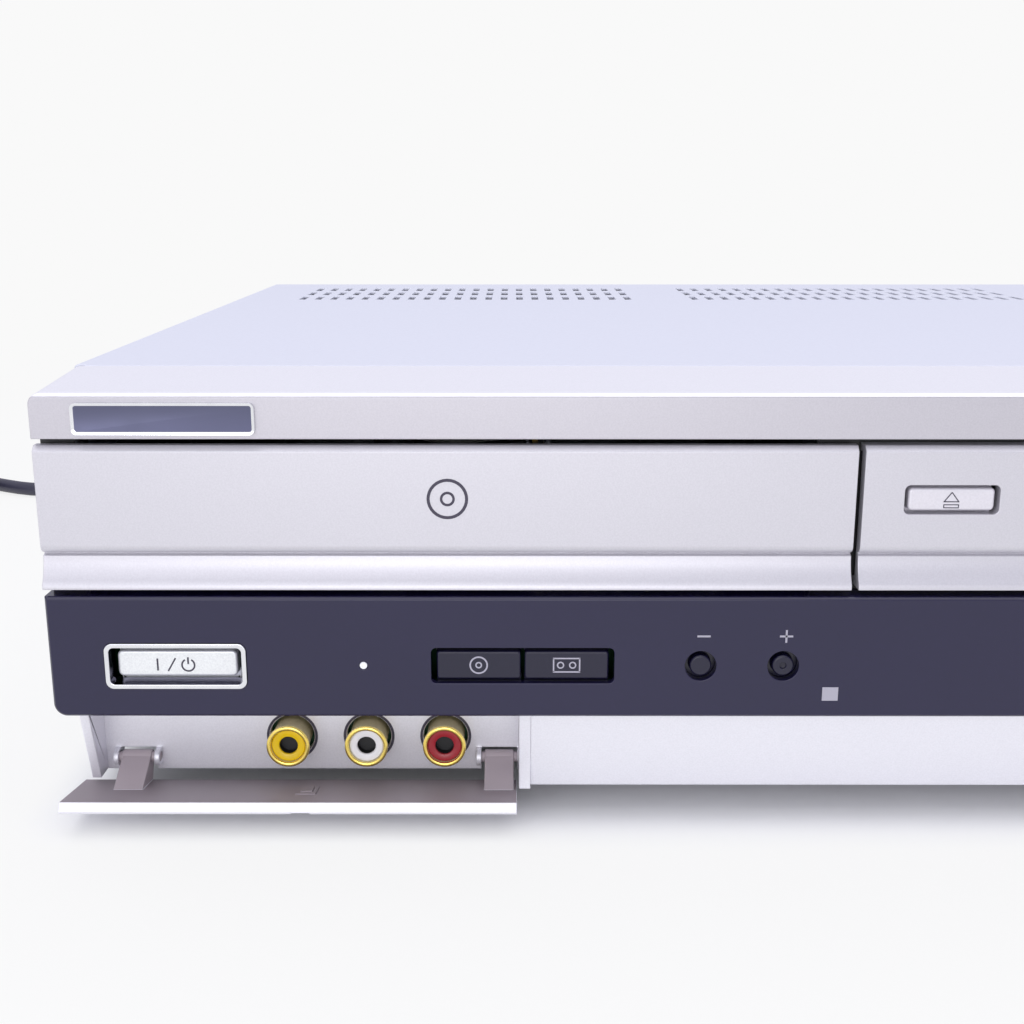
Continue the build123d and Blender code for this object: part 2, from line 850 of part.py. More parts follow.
def control_board():
    """The board behind the fascia and its two eject-switch boards, with all that is soldered on them."""
    board_back = board_y + board_thickness
    board_top = frame_bottom - 0.5
    pieces = [block(8, width - 8, board_y, board_back, fascia_bottom + 2.2, board_top)]
    for x in (eject_x, tape_eject_x):
        pieces.append(block(x - 9, x + 9, board_y, board_back, board_top, eject_z + 5))
    for x, z in key_centres():
        pieces.append(block(x - 3, x + 3, switch_face, board_y, z - 3, z + 3))
    tube = block(
        display_x - display_width / 2 + 2, display_x + display_width / 2 - 2,
        fascia_wall + 2.0, board_y, display_z - 6.5, display_z + 6.5,
    )
    pieces.append(tube)
    pieces.append(block(led_x - 2, led_x + 2, board_y - 1.9, board_y, key_row_z - 2, key_row_z + 2))
    pieces.append(block(139, 145, board_y - 5, board_y, 26.5, 33))
    return group(*pieces)


# ---- sockets ------------------------------------------------------------------------------------------
def jack_places():
    return [jack_left_x + index * jack_pitch for index in range(3)]


def rear_jack_places():
    return [(main_board_left + 6.5 + column * 14, 32 + row * 18) for row in range(2) for column in range(3)]


def shell_outline(length_behind):
    """Half the section of a phono socket's metal shell; distance runs back from its lip."""
    inner = shell_radius - shell_wall
    reach = jack_reach + length_behind
    return [
        (inner, 0), (lip_radius, 0), (lip_radius, 1.0), (shell_radius, 1.2),
        (shell_radius, reach - 1.0),
        (lip_radius + 1.2, reach - 1.0),
        (lip_radius + 1.2, reach),
        (inner, reach),
    ]


shell_behind_front = wall + 1.1
shell_behind_rear = rear_sheet + 1.1


def phono_shells():
    """Plated shells of the three front and six rear phono sockets."""
    shells = []
    for x in jack_places():
        shell = revolved_y(shell_outline(shell_behind_front), x, jack_z, 1)
        shells.append(shell.move(Location((0, bay_back - jack_reach, 0))))
    for x, z in rear_jack_places():
        shell = revolved_y(shell_outline(shell_behind_rear), x, z, -1)
        shells.append(shell.move(Location((0, jack_tip, 0))))
    return group(*shells)


def inserts(index):
    """The coloured rings inside one column of sockets, front and rear."""
    radius = shell_radius - shell_wall - 0.05
    pieces = []
    x = jack_places()[index]
    front = bay_back - jack_reach + 0.7
    ring = bar_y(x, jack_z, front, bay_back + wall + 1.0, radius)
    pieces.append(ring - bar_y(x, jack_z, front - 1, front + 9, insert_hole_radius))
    for place, (rear_x, z) in enumerate(rear_jack_places()):
        if place % 3 == index:
            back = jack_tip - 0.7
            ring = bar_y(rear_x, z, rear_sheet_y - 1.0, back, radius)
            pieces.append(ring - bar_y(rear_x, z, back - 8.5, back + 1, insert_hole_radius))
    return group(*pieces)


def front_socket_solids():
    """The front sockets' housing and the small board behind it."""
    front = bay_back + wall + 1.4
    housing = block(jack_places()[0] - 7, jack_places()[2] + 7, front, front + 6, jack_z - 5, jack_z + 7)
    board = block(30, bay_right, front + 6, front + 6 + board_thickness, floor_top + 0.8, 22)
    return [housing, board]


aerial_z = 30.0
aerial_radius = 4.7


def aerial_places():
    return (width - 32, width - 15)


def antenna_sockets():
    """The tuner can with its two threaded aerial sockets."""
    can = block(width - 38.5, width - 6, 200, rear_sheet_y - seat_gap, floor_top + seat_gap, 42)
    for x in aerial_places():
        barrel = bar_y(x, aerial_z, rear_sheet_y - 1, aerial_end, aerial_radius)
        barrel -= bar_y(x, aerial_z, aerial_end - 6, aerial_end + 1, 3.4)
        barrel += bar_y(x, aerial_z, rear_sheet_y, aerial_end - 0.6, 0.5)
        can += barrel
    return can


# ---- boards -------------------------------------------------------------------------------------------
def signal_boards():
    """The main board with the rear sockets' housing and its chips, and the front sockets' board."""
    left = main_board_left
    top = board_level + board_thickness
    pieces = [block(left, main_board_right, 50, rear_sheet_y - 0.6, board_level, top)]
    pieces.append(block(left + 0.5, left + 40.5, rear_sheet_y - 16.6, rear_sheet_y - 1.3, top, 58))
    for x, y, size, tall in ((19.5, 90, 26, 2), (19.5, 130, 20, 2), (27.5, 165, 14, 2), (9.5, 165, 12, 2.5)):
        half = size / 2
        pieces.append(block(left + x - half, left + x + half, y - half, y + half, top, top + tall))
    return group(*pieces, *front_socket_solids())


def power_supply_board():
    """The supply board with its capacitors and finned heat sink."""
    board = block(8, 118, 152, 230, board_level, board_level + board_thickness)
    top = board_level + board_thickness
    capacitors = [(28, 172, 24, 9), (48, 168, 14, 5), (98, 215, 16, 5)]
    pieces = [board] + [post(x, y, top, top + tall, radius) for x, y, tall, radius in capacitors]
    pieces.append(post(84, 215, top, top + 16, 5))
    fins = block(100, 103, 160, 200, top, top + 24)
    for index in range(5):
        fins += block(103, 110, 161 + index * 9, 163 + index * 9, top, top + 24)
    pieces.append(fins)
    return group(*pieces, *transformer_solids(top))


def transformer_solids(top):
    """The switching transformer: its core round a wound bobbin."""
    core = block(60, 92, 172, 198, top, top + 24)
    core -= block(66, 86, 171, 199, top + 5, top + 19)
    bobbin = block(66.3, 85.7, 169, 201, top + 5.3, top + 18.7)
    return [core, fillet(bobbin.edges().filter_by(Axis.Y), 3)]


# ---- disc drive ---------------------------------------------------------------------------------------
def disc_tray():
    """The disc tray: wells for both disc sizes, a slot for the mechanism, rails and a rack underneath."""
    front = band_back
    tray = block(tray_left, tray_right, front, tray_back, tray_bottom, tray_top)
    upper_corners = tray.edges().filter_by(Axis.Z).group_by(Axis.Y)[-1]
    tray = fillet(upper_corners, 4)
    floor_under = tray_top - well_depth - small_well_depth - tray_floor
    tray -= block(
        tray_left + 2.5, tray_right - 2.5, front + 2.5, tray_back + 1, tray_bottom - 1, floor_under
    )
    tray -= post(spindle_x, spindle_y, tray_top - well_depth, tray_top + 1, well_radius)
    small_floor = tray_top - well_depth - small_well_depth
    tray -= post(spindle_x, spindle_y, small_floor, tray_top + 1, small_well_radius)
    slot = post(spindle_x, spindle_y, tray_bottom, tray_top + 1, slot_half)
    slot += block(
        spindle_x - slot_half, spindle_x + slot_half, spindle_y, tray_back + 1, tray_bottom, tray_top + 1
    )
    tray -= slot
    for side in (-1, 1):
        tray -= post(spindle_x + side * (well_radius + 2), spindle_y, floor_under - 1, tray_top + 1, 7)
    return tray + tray_rack(floor_under)


def tray_rack(top):
    """The straight rack on the tray's underside; its teeth face the pinion."""
    pitch = math.pi * pinion_module
    backlash = gear_backlash / 2
    deep = 1.25 * pinion_module
    tall = 0.95 * pinion_module
    lean = math.tan(pressure_angle)
    half = pitch / 4 - backlash / 2
    count_back = int((tray_back - 3 - pinion_y) / pitch)
    count_front = int((pinion_y - band_back - 6) / pitch)
    start = pinion_y - (count_front + 0.5) * pitch
    points = [(rack_x + deep, start)]
    for index in range(count_front + count_back):
        centre = pinion_y + (index - count_front + 0.5) * pitch
        points.append((rack_x + deep, centre - half - deep * lean))
        points.append((rack_x - tall, centre - half + tall * lean))
        points.append((rack_x - tall, centre + half - tall * lean))
        points.append((rack_x + deep, centre + half + deep * lean))
    points.append((rack_x + deep + 3, points[-1][1]))
    points.append((rack_x + deep + 3, points[1][1]))
    points.pop(0)
    bottom = tray_bottom + 0.2
    face = make_face(Polyline(*points, close=True).edges())
    return extrude(Pos(0, 0, bottom) * face, top - bottom + 0.3, dir=(0, 0, 1))


def tray_lid():
    """The front of the tray, with clips that hook behind the tray's front wall."""
    return section(band_section(), 0, lid_right)


def drive_frame():
    """The drive's moulded frame: floor, side walls with rails, hold-down tabs, clamp bridge, gear posts."""
    frame = block(frame_left, frame_right, frame_front, frame_back, frame_bottom, frame_bottom + frame_floor)
    opening_half = traverse_half + 0.5
    frame -= block(
        spindle_x - opening_half, spindle_x + opening_half, 50, traverse_pin_y + 8,
        frame_bottom - 1, frame_bottom + frame_floor + 1,
    )
    for side in (-1, 1):
        outer = spindle_x + side * frame_width / 2
        inner = outer - side * frame_wall
        low, high = min(outer, inner), max(outer, inner)
        frame += block(low, high, frame_front, frame_back, frame_bottom, frame_side_top)
        reach = inner - side * 3.0
        low, high = min(reach, inner), max(reach, inner)
        frame += block(low, high, frame_front, tray_back - 30, tray_bottom - 2.2, tray_bottom - seat_gap)
        for y in (12, 92):
            frame += block(low, high, y, y + 16, tray_top + seat_gap, tray_top + 2)
        frame += block(low, high, 12, 108, tray_bottom - 4, tray_bottom - 2.2)
    bridge_top = frame_side_top + bridge_thickness
    frame += block(
        frame_left, frame_right, spindle_y - bridge_half, spindle_y + bridge_half, frame_side_top, bridge_top
    )
    frame -= post(spindle_x, spindle_y, frame_side_top - 1, bridge_top + 1, clamp_hole_radius)
    frame += block(frame_left, frame_right, frame_back - 3, frame_back, frame_bottom, 60)
    frame += post(pinion_x, pinion_y, frame_bottom, wheel_top + 4.3, gear_post_radius)
    frame += post(pinion_x, pinion_y, frame_bottom, wheel_bottom - 0.3, 3)
    frame -= post(motor_x, pinion_y, frame_bottom - 1, frame_bottom + frame_floor + 1, 2.5)
    for side in (-1, 1):
        inner = spindle_x + side * (traverse_half + 0.8)
        outer = inner + side * 3.4
        lug = block(
            min(inner, outer), max(inner, outer), traverse_pin_y - 4, traverse_pin_y + 4,
            frame_bottom, traverse_pin_z + 3.2,
        )
        frame += lug
        frame -= bar_x(
            traverse_pin_y, traverse_pin_z, min(inner, outer) - 1, max(inner, outer) + 1,
            traverse_pin_radius + shaft_clearance,
        )
    return frame


traverse_half = 30.0
traverse_pin_radius = 1.5
gear_post_radius = 1.5
wheel_bottom = 50.5
wheel_top = 54.4
rod_radius = 1.5
rod_z = 50.4
rod_places = (spindle_x - 15.0, spindle_x + 15.5)
screw_x = spindle_x + 21.5
window_front = 83.8
window_back = 147.0


def tray_pinion():
    """A wide wheel driven by the motor with the small gear that meshes with the tray's rack on top."""
    mesh_turn = 180.0 / wheel_teeth if wheel_teeth % 2 else 0.0
    wheel = gear(wheel_teeth, motor_module, pinion_x, pinion_y, wheel_bottom, wheel_top, mesh_turn)
    small = gear(pinion_teeth, pinion_module, pinion_x, pinion_y, wheel_top, tray_bottom + 3.4)
    bore = post(pinion_x, pinion_y, wheel_bottom - 1, tray_bottom + 5, gear_post_radius + shaft_clearance)
    return wheel + small - bore


def motor_gear():
    """The motor's small gear on its shaft; a gap between its teeth faces the wheel's tooth."""
    turn = 180.0 / motor_teeth
    teeth = gear(motor_teeth, motor_module, motor_x, pinion_y, wheel_bottom - 0.2, wheel_top + 0.2, turn)
    return teeth + post(motor_x, pinion_y, frame_bottom - 5, wheel_bottom, 1.0)


def loading_motor():
    """The can motor under the drive frame that loads the tray."""
    can = post(motor_x, pinion_y, frame_bottom - 18, frame_bottom, 9.0)
    can -= post(motor_x, pinion_y, frame_bottom - 6, frame_bottom + 1, 1.0 + shaft_clearance)
    return can


def traverse():
    """The frame that carries the spindle motor and the pickup; it drops at the front to free the tray."""
    body = block(spindle_x - traverse_half, spindle_x + traverse_half, 54, traverse_pin_y + 4, 48, 53)
    body -= block(spindle_x - 18.5, spindle_x + 24.5, window_front, window_back, 47, 54)
    body -= block(spindle_x - 27, spindle_x + 27, 57, 62, 49.5, 54)
    for x in rod_places:
        body -= bar_y(x, rod_z, window_front - 3, window_back + 3, rod_radius + 0.05)
    body -= bar_y(screw_x, rod_z, window_front - 3, window_back + 3, rod_radius + shaft_clearance)
    for side in (-1, 1):
        inner = spindle_x + side * (traverse_half - 0.1)
        outer = spindle_x + side * (traverse_half + 4.0)
        ends = sorted((inner, outer))
        body += bar_x(traverse_pin_y, traverse_pin_z, *ends, traverse_pin_radius)
    return body


def guide_rods():
    return group(*[bar_y(x, rod_z, window_front - 2.9, window_back + 2.9, rod_radius) for x in rod_places])


def lead_screw():
    """The screw that moves the pickup."""
    return bar_y(screw_x, rod_z, window_front - 2.9, window_back + 2.9, rod_radius)


def spindle_motor():
    can = post(spindle_x, spindle_y, 53, 59.2, 12.0)
    can = chamfer(can.edges().group_by(Axis.Z)[-1], 0.8)
    return can - post(spindle_x, spindle_y, 52, 60, 1.0 + shaft_clearance)


def turntable():
    """The disc's seat with its centring hub, on the spindle's shaft."""
    table = post(spindle_x, spindle_y, 60.0, 61.9, 14.8)
    table -= post(spindle_x, spindle_y, 61.3, 62, 13.8) - post(spindle_x, spindle_y, 61, 62, 11.0)
    hub = Pos(spindle_x, spindle_y, 63.1) * Cone(7.3, 6.3, 2.6)
    return table + hub + post(spindle_x, spindle_y, 53.5, 61, 1.0)


def disc_clamper():
    """The magnetic puck that hangs in the bridge and holds the disc down."""
    bridge_top = frame_side_top + bridge_thickness
    puck = post(spindle_x, spindle_y, 63.4, bridge_top + seat_gap, 13.0)
    puck += post(spindle_x, spindle_y, bridge_top + seat_gap, bridge_top + 2.2, 16.5)
    return puck - post(spindle_x, spindle_y, 63, 65.8, 8.2)


def optical_pickup():
    """The laser sled: a body on two rods, a nut on the lead screw and a round lens on top."""
    sled = block(spindle_x - 17.7, spindle_x + 23.9, 90, 104, rod_z - 2.3, rod_z + 2.3)
    sled += block(spindle_x - 12.0, spindle_x + 13.0, 84.6, 110.5, 47.0, 55.8)
    for x in rod_places:
        sled -= bar_y(x, rod_z, 80, 115, rod_radius + 0.1)
    sled -= bar_y(screw_x, rod_z, 80, 115, rod_radius + 0.1)
    sled += post(spindle_x, 96, 55.8, 58.0, 4.0)
    return sled


# ---- tape deck ----------------------------------------------------------------------------------------
def reel_places():
    return [(deck_x - reel_spacing / 2, reel_y), (deck_x + reel_spacing / 2, reel_y)]


def drum_place(along):
    """A place on the head drum's leaning axis, a distance up from the deck."""
    turn = math.radians(drum_tilt)
    return (deck_x, drum_y - along * math.sin(turn), deck_z + deck_sheet + along * math.cos(turn))


def drum_part(low, high, radius):
    """A cylinder about the drum's leaning axis between two heights above the deck."""
    x, y, z = drum_place((low + high) / 2)
    return Pos(x, y, z) * Rot(drum_tilt, 0, 0) * Cylinder(radius, high - low)


def deck_plate():
    """The deck's steel plate, with its riveted posts, capstan bush and the two slotted carriage side plates."""
    top = deck_z + deck_sheet
    left = holder_left - side_plate_gap - 1.2
    right = holder_right + side_plate_gap + 1.2
    deck = block(left, right, deck_front, deck_back, deck_z, top)
    deck -= block(deck_x - 30, deck_x + 30, deck_front + 6, deck_front + 26, deck_z - 1, top + 1)
    deck -= block(deck_x + 40, deck_x + 80, drum_y - 10, drum_y + 24, deck_z - 1, top + 1)
    deck -= block(deck_x - 80, deck_x - 44, drum_y - 10, drum_y + 24, deck_z - 1, top + 1)
    deck -= post(capstan_x, capstan_y, deck_z - 1, top + 10, 1.5 + shaft_clearance)
    posts = [post(x, y, top, top + 10, 1.5) for x, y in reel_places()]
    bush = post(capstan_x, capstan_y, top, top + 9, 4.0)
    posts.append(bush - post(capstan_x, capstan_y, top - 1, top + 10, 1.5 + shaft_clearance))
    roller_post = post(roller_x, capstan_y + 2, top, 45, 1.5)
    posts.append(roller_post + post(roller_x, capstan_y + 2, top, 29.7, 3.0))
    for side in (-1, 1):
        posts.append(post(deck_x + side * 38, drum_y - 34, top, top + 24, 2.0))
    sides = []
    for x in (left, right - 1.2):
        side_plate = block(x, x + 1.2, 33, 132, top, 76)
        side_plate -= block(x - 1, x + 2.2, 62, 104, 34, 64)
        for y in carriage_pin_places():
            low = carriage_pin_z - holder_drop
            side_plate -= block(x - 1, x + 2.2, y - 1.7, y + 1.7, low, carriage_pin_z)
            side_plate -= bar_x(y, low, x - 1, x + 2.2, 1.7)
            side_plate -= bar_x(y, carriage_pin_z, x - 1, x + 2.2, 1.7)
        sides.append(side_plate)
    return group(deck, *sides, *posts)


carriage_pin_z = 60.0


def carriage_pin_places():
    return (48, 118)


def lower_drum():
    """The fixed half of the head drum with its bore and the stand under it."""
    drum = drum_part(4.0, 14.0, drum_radius)
    deck_top = deck_z + deck_sheet
    stand = block(deck_x - 26, deck_x + 26, drum_y - 20, drum_y + 20, deck_top, deck_top + 6)
    drum += stand
    return drum - drum_part(1, 15, 3.0 + shaft_clearance)


def upper_drum():
    """The turning half of the head drum, with its head gaps and shaft."""
    drum = drum_part(14.4, 28.0, drum_radius)
    drum -= drum_part(24.5, 29.0, drum_radius - 8) - drum_part(20, 30, 8)
    for side in (-1, 1):
        x, y, z = drum_place(14.9)
        notch = Pos(x + side * drum_radius, y, z) * Rot(drum_tilt, 0, 0) * Box(3, 4, 2.2)
        drum -= notch
    return drum + drum_part(7.0, 15.0, 3.0)


def reel_table(index):
    """A reel table: brake rim, seat and the splined hub that turns the reel."""
    x, y = reel_places()[index]
    top = deck_z + deck_sheet
    table = post(x, y, top + 0.4, top + 3.4, 19.0)
    table += post(x, y, top + 3.4, top + 5.0, 12.0)
    table += post(x, y, top + 5.0, top + 17, 5.0)
    for index_rib in range(3):
        rib = Pos(x, y, top + 10) * Rot(0, 0, 120 * index_rib) * Pos(5.5, 0, 0) * Box(4.0, 1.8, 10)
        table += rib
    return table - post(x, y, top, top + 12, 1.5 + shaft_clearance)


def capstan():
    """The capstan shaft with its heavy flywheel under the deck."""
    wheel = post(capstan_x, capstan_y, floor_top + 1.5, deck_z - 2.6, 21.0)
    hollow = post(capstan_x, capstan_y, deck_z - 4.6, deck_z, 18.0)
    wheel -= hollow - post(capstan_x, capstan_y, 8, deck_z, 6.0)
    return wheel + post(capstan_x, capstan_y, floor_top + 0.4, 44, 1.5)


def pinch_roller():
    """The rubber roller on its post, parked clear of the capstan."""
    roller = post(roller_x, capstan_y + 2, 30, 44, 6.5)
    return roller - post(roller_x, capstan_y + 2, 29, 45, 1.5 + shaft_clearance)


def cassette_carriage():
    """The sheet cage that takes the cassette in and lowers it: a floor, two flanged sides and a back bar."""
    floor_low = holder_floor_z - holder_wall
    front = cassette_front - 3
    back = cassette_front + cassette_depth - 2
    bar_front = back - 10
    top = holder_floor_z + cassette_height + 1.6
    left = holder_left + holder_wall
    right = holder_right - holder_wall
    tray = block(left, right, front, reel_y + 32, floor_low, holder_floor_z)
    for x, y in reel_places():
        tray -= post(x, y, floor_low - 1, holder_floor_z + 1, 16)
    tray -= block(deck_x - 20, deck_x + 20, reel_y - 14, reel_y + 33, floor_low - 1, holder_floor_z + 1)
    sheets = [tray, block(left, right, bar_front, back, top - holder_wall, top)]
    for inner, side in ((left, -1), (right, 1)):
        outer = inner + side * holder_wall
        flange = outer - side * 14
        end = outer + side * (side_plate_gap + 1.2 + 1.0)
        cheek_sheet = block(min(outer, inner), max(outer, inner), front, back, floor_low, top)
        cheek_sheet += block(min(outer, flange), max(outer, flange), front, bar_front, top - holder_wall, top)
        for y in carriage_pin_places():
            cheek_sheet += bar_x(y, carriage_pin_z, min(inner, end), max(inner, end), 1.5)
        sheets.append(cheek_sheet)
    return group(*sheets)


# ---- AV flap ------------------------------------------------------------------------------------------
def av_flap():
    """The flap over the front sockets, built shut and then turned open about its pins."""
    bottom = skirt_bottom + 0.2
    section_lines = [
        (skirt_y(flap_top) + 0.5, flap_top),
        (skirt_y(flap_top - 0.6), flap_top - 0.6),
        (skirt_y(bottom), bottom),
        (flap_inner(bottom + 1.6), bottom),
        (flap_inner(bottom + 1.6), bottom + 1.6),
        (flap_inner(flap_top), flap_top),
    ]
    flap = outline(section_lines, flap_left, bay_right - 0.4)
    notch_x = 45.0
    flap -= block(notch_x - 1.7, notch_x + 1.7, -1, skirt_y(flap_top) + 1.3, flap_top - 1.2, flap_top + 1)
    for x in (arm_left_x, arm_right_x):
        arm = outline(
            [
                (flap_inner(15.5) - 0.3, 15.5), (flap_pin_y, flap_pin_z + 1.35),
                (flap_pin_y, flap_pin_z - 1.35), (flap_inner(8.6) - 0.3, 8.2),
            ],
            x - arm_width / 2, x + arm_width / 2,
        )
        arm += bar_x(flap_pin_y, flap_pin_z, x - arm_width / 2, x + arm_width / 2, 1.4)
        reach = arm_width / 2 + arm_clearance + 0.9
        arm += bar_x(flap_pin_y, flap_pin_z, x - reach, x + reach, flap_pin_radius)
        flap += arm
    hinge = Axis((0, flap_pin_y, flap_pin_z), (1, 0, 0))
    return flap.rotate(hinge, flap_angle)


# ---- mains cord ---------------------------------------------------------------------------------------
cord_rise = cord_diameter / 2 + 0.05
coil_centre = Vector(coil_x, coil_y, 0)


def cord_gland():
    """The moulded strain relief that the cord leaves the back through."""
    face = rear_sheet_y + rear_sheet
    gland = plate(gland_x, gland_z, 13, 11, 1.4, rear_sheet_y - 2.6, face)
    gland += plate(gland_x, gland_z, 16, 14, 2.0, face, face + gland_collar)
    sleeve = Pos(gland_x, gland_end - gland_reach / 2, gland_z) * Rot(-90, 0, 0) * Cone(5.0, 3.6, gland_reach)
    return gland + sleeve


def coil_spot(turns):
    """A point of the coil's centre line after a number of turns: in, up one layer, and out again."""
    angle = math.radians(coil_start_angle) + 2 * math.pi * turns
    radius = coil_radius - coil_pitch * min(turns, 2 * coil_turns - turns)
    climb = min(1.0, max(0.0, (turns - coil_turns + 0.25) / 0.5))
    lift = climb * climb * (3 - 2 * climb)
    z = cord_rise + coil_pitch * lift
    return Vector(coil_x + radius * math.cos(angle), coil_y + radius * math.sin(angle), z)


def coil_heading(turns):
    """The direction of the coil's centre line."""
    small = 0.002
    return (coil_spot(turns + small) - coil_spot(turns - small)).normalized()


coil_end_turns = 2 * coil_turns + 0.375


def biarc(start, start_way, end, end_way):
    """Two arcs that leave one point and reach the next in given directions."""
    across = end - start
    both = start_way + end_way
    square = 2 * (1 - start_way.dot(end_way))
    linear = 2 * across.dot(both)
    length = across.dot(across)
    reach = (-linear + math.sqrt(linear * linear + 4 * square * length)) / (2 * square)
    middle = (start + end + (start_way - end_way) * reach) * 0.5
    first = TangentArc(start, middle, tangent=start_way)
    second = TangentArc(middle, end, tangent=first % 1)
    return [first, second]


def cord_coil():
    """The wound part of the cord: one unbroken tube in two layers, its ends run straight."""
    quarters = int(coil_end_turns * 4)
    turns = [quarter / 4 for quarter in range(quarters + 1)] + [coil_end_turns]
    edges = [Line(coil_spot(0) - coil_heading(0) * cord_diameter, coil_spot(0))]
    for before, after in zip(turns[:-1], turns[1:]):
        edges += biarc(coil_spot(before), coil_heading(before), coil_spot(after), coil_heading(after))
    last = coil_spot(turns[-1])
    edges.append(Line(last, last + coil_heading(turns[-1]) * cord_diameter))
    path = Wire([edge.edge() if hasattr(edge, "edge") else edge for edge in edges])
    start = Plane(origin=path @ 0, z_dir=path % 0)
    tube = sweep(start * Circle(cord_diameter / 2), path=path)
    report_coil_gap(path)
    print("coil volume / section x length", tube.volume / (math.pi * cord_diameter**2 / 4 * path.length))
    return tube


def report_coil_gap(path):
    """Print the least gap between parts of the coil that are more than a third of a turn apart."""
    count = 700
    spots = [path @ (index / count) for index in range(count + 1)]
    apart = int(count * (coil_radius * 2) / path.length)
    least = min(
        (spots[i] - spots[j]).length for i in range(0, count + 1, 2) for j in range(i + apart, count + 1)
    )
    print("least gap of the coil to itself", least - cord_diameter)


def cord_route():
    """The first stretch: out of the gland, down to the table and round to the coil."""
    coil_face = coil_spot(0) - coil_heading(0) * cord_diameter
    before = coil_face - coil_heading(0) * 20
    return [
        Vector(gland_x, gland_end, gland_z),
        Vector(gland_x, gland_end + 16, gland_z),
        Vector(28, 295, 11.5),
        Vector(6, 307, cord_rise + 0.6),
        Vector(-22, 305, cord_rise),
        Vector(-50, 292, cord_rise),
        Vector(-77, 277.5, cord_rise),
        Vector(-102, 272.4, cord_rise),
        before,
        coil_face,
    ]


def plug_route():
    """The last stretch: off the top of the coil, down to the table and up to the plug."""
    way = coil_heading(coil_end_turns)
    coil_face = coil_spot(coil_end_turns) + way * cord_diameter
    after = coil_face + way * 18
    return [
        coil_face,
        after,
        Vector(-188, 221, 4.4),
        Vector(-186, 199, cord_rise),
        Vector(-188.5, 177, plug_axis_z),
        Vector(-193, 157, plug_axis_z),
    ]


def corner_radius(before, corner, after):
    """As large a bend as the two runs allow."""
    turn = (corner - before).get_angle(after - corner)
    run = min((corner - before).length, (after - corner).length)
    return 0.45 * run / math.tan(math.radians(turn / 2))


def tube_along(route, name):
    """A round tube along straight runs joined by tangent arcs."""
    radii = [corner_radius(*three) for three in zip(route[:-2], route[1:-1], route[2:])]
    print(name, "bend radii", [round(radius, 1) for radius in radii])
    path = FilletPolyline(*route, radius=radii)
    start = Plane(origin=path @ 0, z_dir=path % 0)
    tube = sweep(start * Circle(cord_diameter / 2), path=path)
    print(name, "length", round(path.length, 1))
    print(name, "volume / section x length", tube.volume / (math.pi * cord_diameter**2 / 4 * path.length))
    return tube


def power_cord():
    """The cord's free stretches, from the gland to the coil and from the coil to the plug."""
    return group(tube_along(cord_route(), "cord"), tube_along(plug_route(), "plug cord"))


plug_length = 26.0
plug_width = 22.0
plug_thickness = 13.0
plug_sleeve = 10.0


def plug_frame():
    """The plug's own axes: its tip points the way the cord arrives."""
    route = plug_route()
    way = (route[-1] - route[-2]).normalized()
    level = Vector(way.X, way.Y, 0).normalized()
    return Plane(origin=route[-1], x_dir=level, z_dir=(0, 0, 1)), level


def plug_body():
    """The moulded plug: a tapered sleeve and a flat body."""
    plane, level = plug_frame()
    sleeve = Pos(plug_sleeve / 2, 0, 0) * Rot(0, 90, 0) * Cone(3.4, 4.8, plug_sleeve)
    body = Pos(plug_sleeve + plug_length / 2, 0, 0) * Box(plug_length, plug_width, plug_thickness)
    body = fillet(body.edges().filter_by(Axis.Z), 3.0)
    return plane.location * (sleeve + body)


def plug_blades():
    """Two flat parallel blades in the plug's end."""
    plane, level = plug_frame()
    end = plug_sleeve + plug_length
    blades = []
    for side in (-1, 1):
        blade = Pos(end + 8.0, side * 6.35, 0) * Box(16, 1.5, 6.3)
        blades.append(plane.location * chamfer(blade.faces().sort_by(Axis.X)[-1].edges(), 0.5))
    return group(*blades)


# ---- write every piece --------------------------------------------------------------------------------
transport_names = ("rewind", "play", "fast_forward", "stop", "record")
pieces = {
    "top_cover": top_cover,
    "bottom_chassis": bottom_chassis,
    "rear_panel": rear_panel,
    "feet": feet,
    "case_screws": case_screws,
    "front_panel": front_panel,
    "control_fascia": control_fascia,
    "disc_eject_panel": disc_eject_panel,
    "tape_eject_panel": tape_eject_panel,
    "cassette_door": cassette_door,
    "power_button_frame": power_button_frame,
    "display_window": display_window,
    "led_lens": led_lens,
    "control_board": control_board,
    "power_button": power_button,
    "disc_eject_button": lambda: eject_key(eject_x),
    "tape_eject_button": lambda: eject_key(tape_eject_x),
    "select_disc_button": lambda: dark_key(select_left_x + 0.3),
    "select_tape_button": lambda: dark_key(select_left_x + select_pitch + 0.3),
    "channel_down_button": lambda: channel_key(channel_left_x, False),
    "channel_up_button": lambda: channel_key(channel_left_x + channel_pitch, True),
    "phono_shells": phono_shells,
    "yellow_inserts": lambda: inserts(0),
    "white_inserts": lambda: inserts(1),
    "red_inserts": lambda: inserts(2),
    "antenna_sockets": antenna_sockets,
    "signal_boards": signal_boards,
    "power_supply_board": power_supply_board,
    "disc_tray": disc_tray,
    "tray_lid": tray_lid,
    "drive_frame": drive_frame,
    "tray_pinion": tray_pinion,
    "motor_gear": motor_gear,
    "loading_motor": loading_motor,
    "traverse": traverse,
    "guide_rods": guide_rods,
    "lead_screw": lead_screw,
    "spindle_motor": spindle_motor,
    "turntable": turntable,
    "disc_clamper": disc_clamper,
    "optical_pickup": optical_pickup,
    "deck_plate": deck_plate,
    "lower_drum": lower_drum,
    "upper_drum": upper_drum,
    "supply_reel": lambda: reel_table(0),
    "takeup_reel": lambda: reel_table(1),
    "capstan": capstan,
    "pinch_roller": pinch_roller,
    "cassette_carriage": cassette_carriage,
    "av_flap": av_flap,
    "cord_gland": cord_gland,
    "power_cord": power_cord,
    "cord_coil": cord_coil,
    "plug_body": plug_body,
    "plug_blades": plug_blades,
}


def transport_key(index):
    return dark_key(transport_x + index * select_pitch)


